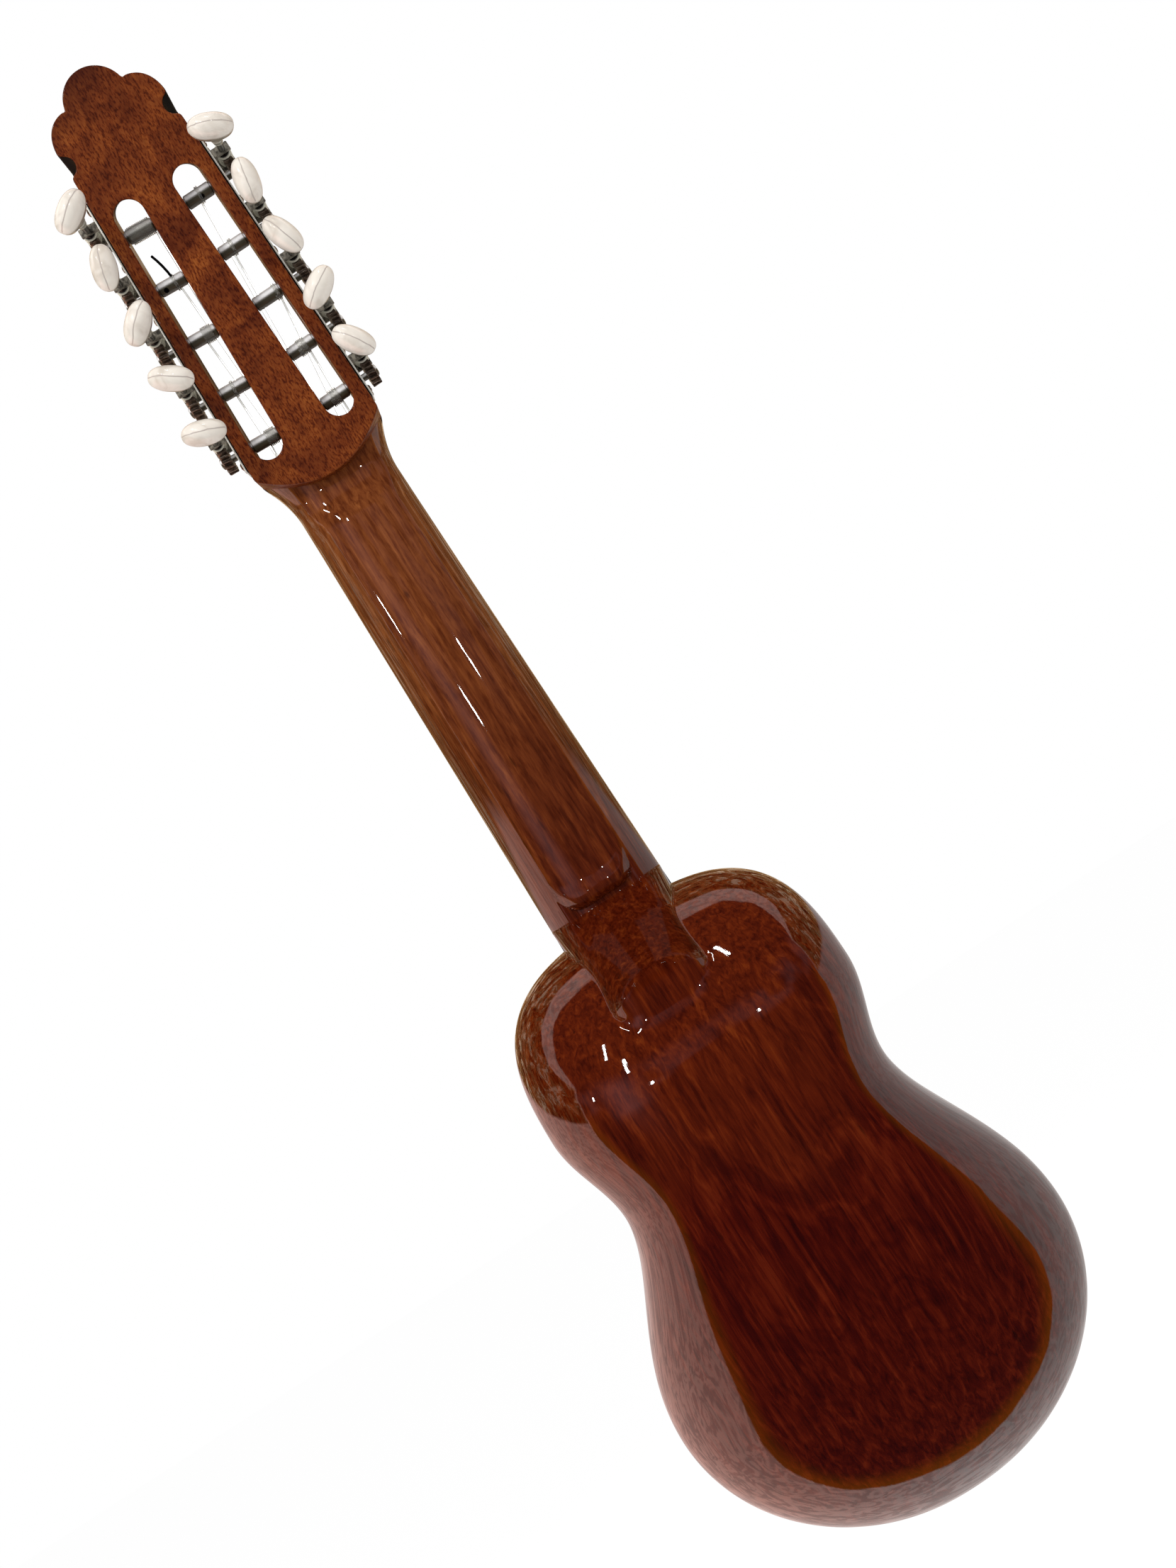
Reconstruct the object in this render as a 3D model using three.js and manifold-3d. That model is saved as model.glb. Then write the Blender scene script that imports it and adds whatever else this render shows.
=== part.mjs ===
// Charango: a small lute of the Andes with five double courses of strings. A bowl carved from
// one block, a neck with a slotted head, a soundboard, a fingerboard and ten worm-geared tuners.
// Lengths are millimetres. Z runs up the neck to the crown of the head, the strings face -Y and
// the carved back faces +Y. The origin lies on the neck's flat front at the nut's lower edge,
// which is where the yoke of a wall hanger holds the neck, just under the head.

import * as THREE from 'three';
import { mergeVertices } from 'three/addons/utils/BufferGeometryUtils.js';
import Module from 'manifold-3d';

const wasm = await Module();
wasm.setup();

// Fits between pieces
const seatGap = 0.3;
const slideFit = 0.15;
const cutOverrun = 1;

// Body outline: drops are measured down from where the two shoulders would meet
const neckLength = 205.2;
const shoulderFlatDrop = 2;
const bodyLength = 252;
const upperBoutDrop = 59;
const waistDrop = 97.3;
const lowerBoutDrop = 180.6;
const upperBoutWidth = 135.2;
const waistWidth = 117.6;
const lowerBoutWidth = 173.2;
const shoulderPowerShare = 2.98;
const waistSharpnessShare = 0.88;

// Carved bowl
const bowlDepth = 58;
const shoulderRiseLength = 60;
const tailFallLength = 129;
const bowlWall = 5;
const heelBlockLength = 49;
const tailBlockLength = 9;
const upperDepthShare = 0.88;
const headEndPowerShare = 1.7;
const tailEndPowerShare = 2.4;
const upperSectionPowerShare = 3.2;
const lowerSectionPowerShare = 2.3;
const hollowEndPowerShare = 5;

// Neck and heel
const nutWidth = 45.8;
const neckWidthAtBody = 51.2;
const neckDepthAtNut = 16.6;
const neckDepthAtHeel = 19.6;
const neckThroatDepth = 13.4;
const neckThroatLength = 14;
const heelStepUp = 14.2;
const heelStepDrop = 3.4;
const heelStepLength = 2.4;
const heelRidgeDrop = 19.5;
const heelRidgeDepth = 47.5;
const heelRidgeBow = 9;
const heelTopWidth = 46;
const heelBuriedLength = 19.5;
const neckPowerShare = 2.2;
const ridgePowerShare = 5;
const scoopCurveShare = 1.25;

// Head: distances run up the head from its meeting with the nut
const headTilt = THREE.MathUtils.degToRad(10.75);
const headThickness = 17.8;
const headPlateThickness = 1.8;
const headCornerUp = 17.5;
const headArcUp = 5;
const headCornerWidth = 57.6;
const headNotchWidth = 49;
const notchRise = 29.1;
const notchRadius = 4.2;
const lobeJunctionRise = 13.6;
const lobeJunctionWidth = 25.4;
const crownRise = 10.2;
const slotWidth = 12.4;
const slotLowMargin = 10.2;
const slotHighMargin = 6.6;
const railWidth = 5.6;
const rampUp = 6;
const rampDepth = 6;

// Tuners
const tunersPerSide = 5;
const tunerPitch = 23.3;
const tunerCornerRise = 14.8;
const rollerLevel = 7.3;
const rollerRadius = 2.75;
const journalRadius = 2.1;
const spindleRadius = 1.5;
const rollerInsert = 4.4;
const rollerEndGap = 0.9;
const spindleEnd = 1;
const gearTeeth = 14;
const gearPitchRadius = 4.8;
const gearOuterRadius = 5.35;
const gearRootRadius = 3.95;
const gearWidth = 4;
const toothCrestWidth = 0.45;
const toothRootWidth = 1.15;
const gearOffset = 5.75;
const wormPitchRadius = 2.5;
const wormOuterRadius = 3.05;
const wormCoreRadius = 1.75;
const wormLength = 9;
const threadCrestWidth = 0.5;
const threadRootWidth = 1.15;
const shaftRadius = 1.4;
const shaftTipLength = 1;
const ferruleRadius = 2.3;
const ferruleLength = 4;
const plateThickness = 1.2;
const plateWidth = 12.6;
const plateLowMargin = 8.7;
const plateHighMargin = 15.4;
const tabWidth = 6.4;
const tabReach = 8.9;
const buttonDistance = 17;
const buttonHeight = 13;
const buttonWidth = 17.5;
const buttonThickness = 9;
const buttonBoreDepth = 8;
const buttonPowerShare = 2.3;
const leftButtonTurns = [-38, -72, -46, 29, 16];
const rightButtonTurns = [24, -78, 70, -32, 55];

// Soundboard, fingerboard, bridge and strings
const scaleLength = 370;
const soundboardThickness = 2.5;
const soundholeDrop = 74;
const soundholeRadius = 27;
const braceDrop = 116;
const braceDepth = 9;
const braceWidth = 7;
const fingerboardThickness = 5;
const fingerboardLength = 243;
const lastFretMargin = 3;
const octaveFrets = 12;
const fretWidth = 2;
const fretHeight = 1;
const nutThickness = 4.5;
const nutHeight = 7.2;
const nutBackHeight = 5;
const bridgeLength = 104;
const bridgeWidth = 20;
const bridgeWingHeight = 3.4;
const bridgeTipHeight = 2;
const bridgeBlockLength = 66;
const bridgeBlockHeight = 7;
const tieBlockWidth = 6.5;
const tieValleyWidth = 4.2;
const tieValleyHeight = 2.8;
const saddleWall = 2;
const saddleThickness = 2.6;
const saddleLength = 62;
const saddleRise = 4.6;
const saddleSeatDepth = 3;
const tieHoleRadius = 0.65;
const tieHoleHeight = 4.2;
const stringRadius = 0.35;
const courseSpacingAtNut = 8.9;
const courseSpacingAtSaddle = 11;
const pairSpacingAtNut = 2.2;
const pairSpacingAtSaddle = 2.8;
const windingShares = [0.07, 0.05, -0.35, 0.16, 0.76];

// Where the stations of the long curved pieces stand, as shares of their length
const flareShares = [1.06, 0.8, 0.6, 0.4, 0.2, 0];
const throatShares = [0.35, 0.7, 1];
const gripShares = [0.5, 1];
const scoopShares = [0, 0.12, 0.26, 0.42, 0.58, 0.74, 0.88, 1];
const buttonHeightShares = [0, 0.16, 0.38, 0.44, 0.7, 0.88, 1];
const buttonSizeShares = [0.34, 0.4, 0.93, 1, 0.93, 0.68, 0.3];
const bodyEndShare = 0.001;

// Facets
const bodyStationCount = 34;
const hollowStationCount = 16;
const bowlSides = 18;
const hollowSides = 14;
const neckSides = 14;
const buttonSides = 12;
const turnedSides = 10;
const boreSides = 8;
const threadSteps = 8;
const stringSides = 6;
const arcSegments = 8;

const shouldersZ = shoulderFlatDrop - neckLength;
const firstTunerUp = headCornerUp + tunerCornerRise;
const lastTunerUp = firstTunerUp + (tunersPerSide - 1) * tunerPitch;
const slotFirstUp = firstTunerUp - slotLowMargin;
const slotLength = lastTunerUp + slotHighMargin - slotFirstUp;
const notchUp = lastTunerUp + notchRise;
const lobeJunctionUp = notchUp + notchRadius + lobeJunctionRise;
const crownUp = lobeJunctionUp + crownRise;
const saddleZ = -scaleLength;
const saddleTop = bridgeBlockHeight + saddleRise;
const bridgeTailZ = saddleZ - saddleThickness / 2 - saddleWall - tieValleyWidth - tieBlockWidth;
const wormDistance = gearPitchRadius + wormPitchRadius;
const threadLead = 2 * Math.PI * gearPitchRadius / gearTeeth;
const stringLift = stringRadius + seatGap;
const tabLevel = wormLength / 2 + seatGap;

// Shape tools

function solid(geometry) {
  const plain = geometry.clone();
  plain.deleteAttribute('normal');
  plain.deleteAttribute('uv');
  const merged = mergeVertices(plain);
  return new wasm.Manifold(new wasm.Mesh({
    numProp: 3,
    vertProperties: new Float32Array(merged.getAttribute('position').array),
    triVerts: new Uint32Array(merged.getIndex().array),
  }));
}

function geometryOf(shape) {
  const mesh = shape.getMesh();
  const places = new Float32Array(mesh.vertProperties);
  const geometry = new THREE.BufferGeometry();
  geometry.setAttribute('position', new THREE.BufferAttribute(places, mesh.numProp));
  geometry.setIndex(new THREE.BufferAttribute(new Uint32Array(mesh.triVerts), 1));
  return geometry;
}

function fuse(geometries) {
  return geometryOf(geometries.map(solid).reduce((rest, shape) => rest.add(shape)));
}

function carve(geometry, cutters) {
  return geometryOf(cutters.map(solid).reduce((rest, shape) => rest.subtract(shape), solid(geometry)));
}

// The volume between the origin and every face: positive when the faces look out.
function signedVolume(points, triangles) {
  let volume = 0;
  for (let index = 0; index < triangles.length; index += 3) {
    const [a, b, c] = [points[triangles[index]], points[triangles[index + 1]], points[triangles[index + 2]]];
    volume += a.dot(b.clone().cross(c));
  }
  return volume;
}

function closedSkin(points, triangles) {
  if (signedVolume(points, triangles) < 0) triangles.reverse();
  const places = points.flatMap((point) => [point.x, point.y, point.z]);
  const geometry = new THREE.BufferGeometry();
  geometry.setAttribute('position', new THREE.Float32BufferAttribute(places, 3));
  geometry.setIndex(triangles);
  return geometry;
}

// A skin over rings of points that all have the same count, closed at both ends by fans
// round the ends' middles.
function loft(rings) {
  const count = rings[0].length;
  const middleOf = (ring) => ring
    .reduce((sum, point) => sum.add(point), new THREE.Vector3())
    .divideScalar(count);
  const points = [...rings.flat(), middleOf(rings[0]), middleOf(rings[rings.length - 1])];
  const last = (rings.length - 1) * count;
  const firstMiddle = rings.length * count;
  const lastMiddle = firstMiddle + 1;
  const triangles = [];
  for (let side = 0; side < count; side += 1) {
    const next = (side + 1) % count;
    for (let ring = 0; ring + 1 < rings.length; ring += 1) {
      const a = ring * count + side;
      const b = ring * count + next;
      triangles.push(a, b, b + count, a, b + count, a + count);
    }
    triangles.push(firstMiddle, next, side, lastMiddle, last + side, last + next);
  }
  return closedSkin(points, triangles);
}

function boxBetween(from, to) {
  const size = to.clone().sub(from);
  const middle = from.clone().add(to).divideScalar(2);
  return new THREE.BoxGeometry(size.x, size.y, size.z).translate(middle.x, middle.y, middle.z);
}

// A cylinder along Z through x and y.
function uprightRod(radius, low, high, x, y, sides) {
  return new THREE.CylinderGeometry(radius, radius, high - low, sides)
    .rotateX(Math.PI / 2)
    .translate(x, y, (low + high) / 2);
}

// A cylinder along X through y and z.
function levelRod(radius, from, to, y, z, sides) {
  return new THREE.CylinderGeometry(radius, radius, to - from, sides)
    .rotateZ(Math.PI / 2)
    .translate((from + to) / 2, y, z);
}

function extrude(shape, depth, segments) {
  return new THREE.ExtrudeGeometry(shape, { depth, bevelEnabled: false, curveSegments: segments });
}

// Turned on Y from pairs of radius and height, both ends on the axis.
function turned(profile) {
  const corners = profile.map(([radius, height]) => new THREE.Vector2(radius, height));
  return new THREE.LatheGeometry(corners, turnedSides);
}

// How far a superellipse still stands out at a share of its half width.
function superCurve(share, power) {
  return Math.max(0, 1 - Math.min(1, Math.abs(share)) ** power) ** (1 / power);
}

function blend(from, to, share) {
  return from + (to - from) * Math.min(1, Math.max(0, share));
}

function cosineShare(share) {
  return (1 - Math.cos(Math.PI * share)) / 2;
}

// Body

// Half the width of the body: a squarish ellipse over the shoulders, a cosine down to the
// waist, another out to the lower bout, and an ellipse round the tail.
function bodyHalfWidth(drop) {
  if (drop <= upperBoutDrop) {
    return upperBoutWidth / 2 * superCurve(1 - drop / upperBoutDrop, shoulderPowerShare);
  }
  if (drop <= waistDrop) {
    const share = (drop - upperBoutDrop) / (waistDrop - upperBoutDrop);
    return blend(upperBoutWidth, waistWidth, cosineShare(share)) / 2;
  }
  if (drop <= lowerBoutDrop) {
    const share = ((drop - waistDrop) / (lowerBoutDrop - waistDrop)) ** waistSharpnessShare;
    return blend(waistWidth, lowerBoutWidth, cosineShare(share)) / 2;
  }
  return lowerBoutWidth / 2 * superCurve((drop - lowerBoutDrop) / (bodyLength - lowerBoutDrop), 2);
}

// Depth of the bowl behind its rim, along the middle.
function bowlDepthAt(drop) {
  const headEnd = superCurve(Math.max(0, 1 - drop / shoulderRiseLength), headEndPowerShare);
  const tailEnd = superCurve(Math.max(0, 1 - (bodyLength - drop) / tailFallLength), tailEndPowerShare);
  return bowlDepth * blend(upperDepthShare, 1, drop / (bodyLength - tailFallLength)) * headEnd * tailEnd;
}

function bowlPowerAt(drop) {
  const share = (drop - waistDrop) / (lowerBoutDrop - waistDrop);
  return blend(upperSectionPowerShare, lowerSectionPowerShare, share);
}

// A section with a flat front and a round back; a bow pulls its sides down along Z.
function backSection({ half, front, depth, power, z, bow = 0 }, sides) {
  return Array.from({ length: sides + 1 }, (_, side) => {
    const angle = side / sides * Math.PI;
    const across = Math.sign(Math.cos(angle)) * Math.abs(Math.cos(angle)) ** (2 / power);
    const out = side % sides === 0 ? 0 : Math.sin(angle) ** (2 / power);
    return new THREE.Vector3(half * across, front + depth * out, z - bow * across ** 2);
  });
}

// Stations that close up towards both ends, where the outline turns fastest.
function bodyDrops(count, from, to) {
  return Array.from({ length: count + 1 }, (_, index) => {
    const share = index / count;
    return blend(from, to, (share + cosineShare(share)) / 2);
  });
}

function bowlSkin() {
  const drops = bodyDrops(bodyStationCount, shoulderFlatDrop, bodyLength * (1 - bodyEndShare));
  return loft(drops.map((drop) => backSection({
    half: bodyHalfWidth(drop),
    front: soundboardThickness,
    depth: bowlDepthAt(drop),
    power: bowlPowerAt(drop),
    z: shouldersZ - drop,
  }, bowlSides)));
}

function bowlHollow() {
  const from = heelBlockLength;
  const to = bodyLength - tailBlockLength;
  const middle = (from + to) / 2;
  const end = bodyLength * bodyEndShare;
  return loft(bodyDrops(hollowStationCount, from + end, to - end).map((drop) => {
    const close = superCurve((drop - middle) / (middle - from), hollowEndPowerShare);
    return backSection({
      half: (bodyHalfWidth(drop) - bowlWall) * close,
      front: soundboardThickness - cutOverrun,
      depth: (bowlDepthAt(drop) - bowlWall) * close + cutOverrun,
      power: bowlPowerAt(drop),
      z: shouldersZ - drop,
    }, hollowSides);
  }));
}

// Neck and heel

function neckHalfWidth(z) {
  return blend(nutWidth, neckWidthAtBody, -z / neckLength) / 2;
}

// Sections from inside the head down: the flare under the head, the throat, the grip, the
// scoop that climbs from the small step to the arched ridge, and the tongue inside the bowl.
function neckStations() {
  const cornerZ = nutThickness + headCornerUp;
  const stepZ = heelStepUp - neckLength;
  const scoopZ = stepZ - heelStepLength;
  const ridgeZ = -neckLength - heelRidgeDrop;
  const scoopDepth = neckDepthAtHeel - heelStepDrop;
  const flares = flareShares.map((share) => ({
    half: nutWidth / 2 + ((headCornerWidth - nutWidth) / 2 - seatGap) * Math.min(1, share) ** 2,
    front: Math.max(0, cornerZ * share - nutThickness) * Math.tan(headTilt),
    depth: neckThroatDepth,
    power: upperSectionPowerShare,
    z: cornerZ * share,
  }));
  const throats = throatShares.map((share) => ({
    half: neckHalfWidth(-neckThroatLength * share),
    front: 0,
    depth: blend(neckThroatDepth, neckDepthAtNut, cosineShare(share)),
    power: neckPowerShare,
    z: -neckThroatLength * share,
  }));
  const grips = gripShares.map((share) => ({
    half: neckHalfWidth(blend(-neckThroatLength, stepZ, share)),
    front: 0,
    depth: blend(neckDepthAtNut, neckDepthAtHeel, share),
    power: neckPowerShare,
    z: blend(-neckThroatLength, stepZ, share),
  }));
  const scoop = scoopShares.map((share) => ({
    half: blend(neckWidthAtBody, heelTopWidth, share) / 2,
    front: 0,
    depth: blend(scoopDepth, heelRidgeDepth, share ** scoopCurveShare),
    power: blend(neckPowerShare, ridgePowerShare, share),
    z: blend(scoopZ, ridgeZ, share),
    bow: heelRidgeBow * share,
  }));
  const buried = {
    half: heelTopWidth / 2,
    front: 0,
    depth: heelRidgeDepth,
    power: ridgePowerShare,
    z: ridgeZ - heelBuriedLength,
  };
  return [...flares, ...throats, ...grips, ...scoop, buried];
}

// The neck's skin, or the same grown all round to cut its seat in the bowl.
function neckSkin(grow) {
  const stations = neckStations();
  const last = stations.length - 1;
  return loft(stations.map((station, index) => backSection({
    ...station,
    half: station.half + grow,
    front: station.front - grow,
    depth: station.depth + 2 * grow,
    z: index === last ? station.z - grow : station.z,
  }, neckSides)));
}

function soundboardSeat() {
  return boxBetween(
    new THREE.Vector3(-lowerBoutWidth, -cutOverrun, -neckLength - bodyLength),
    new THREE.Vector3(lowerBoutWidth, soundboardThickness, -neckLength),
  );
}

function bowl() {
  return carve(bowlSkin(), [neckSkin(seatGap), bowlHollow()]);
}

// Head

// In the head's own frame X runs across, Y up the head and Z out of its front face.
const headFrame = new THREE.Group();
headFrame.position.z = nutThickness;
headFrame.rotation.x = Math.PI / 2 - headTilt;
headFrame.updateMatrix();

const edgeLean = Math.atan2((headCornerWidth - headNotchWidth) / 2, notchUp - notchRadius - headCornerUp);

// The two edges of the head. Each has a frame with its origin in the head's corner, X across
// the head and Y up the edge.
const edges = [
  { name: 'left', sign: 1, buttonTurns: leftButtonTurns },
  { name: 'right', sign: -1, buttonTurns: rightButtonTurns },
].map((edge) => {
  const frame = new THREE.Group();
  frame.position.set(edge.sign * headCornerWidth / 2, headCornerUp, 0);
  frame.rotation.z = edge.sign * edgeLean;
  frame.updateMatrix();
  return { ...edge, frame };
});

// Tuner 1 is the one at the crown.
function tunerUp(number) {
  return (firstTunerUp - headCornerUp + (tunersPerSide - number) * tunerPitch) / Math.cos(edgeLean);
}

// From the notch, or the plain corner of the plate, over the shoulder to the middle lobe.
function crownOutline(shape, notched) {
  const notchHalf = headNotchWidth / 2;
  const junctionHalf = lobeJunctionWidth / 2;
  const shoulderUp = notchUp + notchRadius;
  const kappaShare = 0.6;
  const shoulderRise = (lobeJunctionUp - shoulderUp) * kappaShare;
  const shoulderRun = (notchHalf - junctionHalf) * kappaShare;
  const lobeRise = crownUp - lobeJunctionUp;
  const lobeRadius = (junctionHalf ** 2 + lobeRise ** 2) / (2 * lobeRise);
  const lobeFrom = Math.atan2(lobeRise - lobeRadius, junctionHalf);
  shape.lineTo(notchHalf, notchUp - notchRadius);
  if (notched) shape.absarc(notchHalf, notchUp, notchRadius, -Math.PI / 2, Math.PI / 2, true);
  shape.lineTo(notchHalf, shoulderUp);
  shape.bezierCurveTo(
    notchHalf, shoulderUp + shoulderRise,
    junctionHalf + shoulderRun, lobeJunctionUp,
    junctionHalf, lobeJunctionUp,
  );
  shape.absarc(0, crownUp - lobeRadius, lobeRadius, lobeFrom, Math.PI - lobeFrom, false);
  shape.bezierCurveTo(
    -junctionHalf - shoulderRun, lobeJunctionUp,
    -notchHalf, shoulderUp + shoulderRise,
    -notchHalf, shoulderUp,
  );
  if (notched) shape.absarc(-notchHalf, notchUp, notchRadius, Math.PI / 2, -Math.PI / 2, true);
  shape.lineTo(-notchHalf, notchUp - notchRadius);
  shape.closePath();
  return shape;
}

function headOutline() {
  const cornerHalf = headCornerWidth / 2;
  const shape = new THREE.Shape();
  shape.moveTo(-cornerHalf, headCornerUp);
  shape.quadraticCurveTo(0, 2 * headArcUp - headCornerUp, cornerHalf, headCornerUp);
  return crownOutline(shape, true);
}

function plateOutline() {
  const cornerHalf = headCornerWidth / 2;
  const nutHalf = nutWidth / 2;
  const shape = new THREE.Shape();
  shape.moveTo(-cornerHalf, headCornerUp);
  shape.quadraticCurveTo(-nutHalf, headCornerUp / 2, -nutHalf, seatGap);
  shape.lineTo(nutHalf, seatGap);
  shape.quadraticCurveTo(nutHalf, headCornerUp / 2, cornerHalf, headCornerUp);
  return crownOutline(shape, false);
}

// One side's long slot with round ends.
function slotCutter({ frame, sign }) {
  const half = slotWidth / 2;
  const middle = -sign * (railWidth + half);
  const low = slotFirstUp - headCornerUp + half;
  const outline = new THREE.Shape();
  outline.absarc(middle, low + slotLength - slotWidth, half, 0, Math.PI, false);
  outline.absarc(middle, low, half, Math.PI, 2 * Math.PI, false);
  outline.closePath();
  return extrude(outline, headThickness + headPlateThickness + 2 * cutOverrun, arcSegments)
    .translate(0, 0, -headThickness - cutOverrun)
    .applyMatrix4(frame.matrix);
}

// The ramp that lets the strings down into the slot's lower end.
function rampCutter({ frame, sign }) {
  const low = slotFirstUp - headCornerUp + slotWidth / 2;
  const start = rampUp - headCornerUp;
  const top = headPlateThickness + cutOverrun;
  const slope = (rampDepth + headPlateThickness) / (low - start);
  const wedge = new THREE.Shape();
  wedge.moveTo(start - cutOverrun / slope, top);
  wedge.lineTo(low, -rampDepth);
  wedge.lineTo(low, top);
  wedge.closePath();
  return extrude(wedge, slotWidth, arcSegments)
    .rotateX(Math.PI / 2)
    .rotateZ(Math.PI / 2)
    .translate(-sign * (railWidth + slotWidth / 2) - slotWidth / 2, 0, 0)
    .applyMatrix4(frame.matrix);
}

function boreCutters({ frame, sign }) {
  const ends = [-sign * (railWidth + slotWidth + rollerInsert + seatGap), sign * cutOverrun];
  const radius = journalRadius + seatGap;
  return Array.from({ length: tunersPerSide }, (_, index) => levelRod(
    radius, Math.min(...ends), Math.max(...ends), tunerUp(index + 1), -rollerLevel, boreSides,
  ).applyMatrix4(frame.matrix));
}

function neckWithHead() {
  const block = extrude(headOutline(), headThickness, arcSegments).translate(0, 0, -headThickness);
  const cutters = edges.flatMap((edge) => [slotCutter(edge), rampCutter(edge), ...boreCutters(edge)]);
  const head = carve(block, cutters).applyMatrix4(headFrame.matrix);
  const wedges = edges.map((edge) => rampCutter(edge).applyMatrix4(headFrame.matrix));
  return fuse([head, carve(neckSkin(0), [soundboardSeat(), ...wedges])]);
}

function headPlate() {
  const blank = extrude(plateOutline(), headPlateThickness - seatGap, arcSegments).translate(0, 0, seatGap);
  return carve(blank, edges.flatMap((edge) => [slotCutter(edge), rampCutter(edge)]));
}

// Soundboard and what stands on it

// Turns a drawing's Y to Z, so that its thickness reaches forward from the given Y.
function stand(geometry, back) {
  return geometry.rotateX(Math.PI / 2).translate(0, back, 0);
}

function brace() {
  const ends = [braceDrop - braceWidth / 2, braceDrop + braceWidth / 2];
  const half = Math.min(...ends.map(bodyHalfWidth)) - bowlWall - cutOverrun;
  const low = soundboardThickness - slideFit;
  const high = soundboardThickness + braceDepth;
  const shape = new THREE.Shape();
  shape.moveTo(-half, low);
  shape.lineTo(half, low);
  shape.lineTo(half, blend(low, high, 1 / 3));
  shape.lineTo(half - 2 * braceDepth, high);
  shape.lineTo(2 * braceDepth - half, high);
  shape.lineTo(-half, blend(low, high, 1 / 3));
  shape.closePath();
  return extrude(shape, braceWidth, 1).translate(0, 0, shouldersZ - braceDrop - braceWidth / 2);
}

function soundboard() {
  const drops = bodyDrops(bodyStationCount, shoulderFlatDrop + slideFit, bodyLength * (1 - bodyEndShare));
  const right = drops.map((drop) => new THREE.Vector2(bodyHalfWidth(drop), shouldersZ - drop));
  const left = right.map((point) => new THREE.Vector2(-point.x, point.y)).reverse();
  const shape = new THREE.Shape([...right, ...left]);
  const hole = new THREE.Path();
  hole.absarc(0, shouldersZ - soundholeDrop, soundholeRadius, 0, 2 * Math.PI, false);
  shape.holes.push(hole);
  return fuse([stand(extrude(shape, soundboardThickness, 2 * arcSegments), soundboardThickness), brace()]);
}

function fretDistance(fret) {
  return scaleLength * (1 - 2 ** (-fret / octaveFrets));
}

// The last fret that lies on the board.
function lastFret() {
  const share = (fingerboardLength - lastFretMargin) / scaleLength;
  return Math.floor(-octaveFrets * Math.log2(1 - share));
}

function boardHalfWidth(distance) {
  return (nutWidth + (neckWidthAtBody - nutWidth) * distance / neckLength) / 2;
}

// The bar of a fret, sunk in the board by its own height.
function fretBar(fret) {
  const half = boardHalfWidth(fretDistance(fret)) - slideFit;
  const bar = new THREE.Shape();
  bar.moveTo(-fretWidth / 2, fretHeight);
  bar.lineTo(-fretWidth / 4, -fretHeight);
  bar.lineTo(fretWidth / 4, -fretHeight);
  bar.lineTo(fretWidth / 2, fretHeight);
  bar.closePath();
  return extrude(bar, 2 * half, 1)
    .rotateY(Math.PI / 2)
    .translate(-half, -fingerboardThickness, -fretDistance(fret));
}

function fingerboard() {
  const shape = new THREE.Shape();
  const endHalf = boardHalfWidth(fingerboardLength);
  shape.moveTo(-nutWidth / 2, 0);
  shape.lineTo(-endHalf, -fingerboardLength);
  shape.quadraticCurveTo(0, fingerboardThickness - fingerboardLength, endHalf, -fingerboardLength);
  shape.lineTo(nutWidth / 2, 0);
  shape.closePath();
  const frets = Array.from({ length: lastFret() }, (_, index) => fretBar(index + 1));
  return fuse([stand(extrude(shape, fingerboardThickness, arcSegments), 0), ...frets]);
}

function nut() {
  const shape = new THREE.Shape();
  const back = nutThickness - slideFit;
  shape.moveTo(slideFit, 0);
  shape.lineTo(slideFit, nutHeight);
  shape.lineTo(back, nutBackHeight);
  shape.lineTo(back, 0);
  shape.closePath();
  return extrude(shape, nutWidth, 1).rotateX(Math.PI).rotateY(-Math.PI / 2).translate(-nutWidth / 2, 0, 0);
}

function bridgeBlank() {
  const wingHalf = bridgeLength / 2;
  const blockHalf = bridgeBlockLength / 2;
  const middle = (wingHalf + blockHalf) / 2;
  const shape = new THREE.Shape();
  shape.moveTo(-wingHalf, 0);
  shape.lineTo(wingHalf, 0);
  shape.lineTo(wingHalf, bridgeTipHeight);
  shape.quadraticCurveTo(middle, bridgeWingHeight, blockHalf, bridgeWingHeight);
  shape.lineTo(blockHalf, bridgeBlockHeight);
  shape.lineTo(-blockHalf, bridgeBlockHeight);
  shape.lineTo(-blockHalf, bridgeWingHeight);
  shape.quadraticCurveTo(-middle, bridgeWingHeight, -wingHalf, bridgeTipHeight);
  shape.closePath();
  return extrude(shape, bridgeWidth, 2).rotateX(Math.PI).translate(0, 0, bridgeTailZ + bridgeWidth);
}

// The strings of one side from the outermost to the middle course, with their places at the
// nut and at the saddle.
const sideStrings = Array.from({ length: tunersPerSide }, (_, index) => {
  const course = 2 - Math.floor(index / 2);
  const pair = index % 2 === 0 ? 1 / 2 : -1 / 2;
  return {
    number: tunersPerSide - index,
    atNut: course * courseSpacingAtNut + pair * pairSpacingAtNut,
    atSaddle: course * courseSpacingAtSaddle + pair * pairSpacingAtSaddle,
    windingShare: windingShares[index],
  };
});

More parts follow.
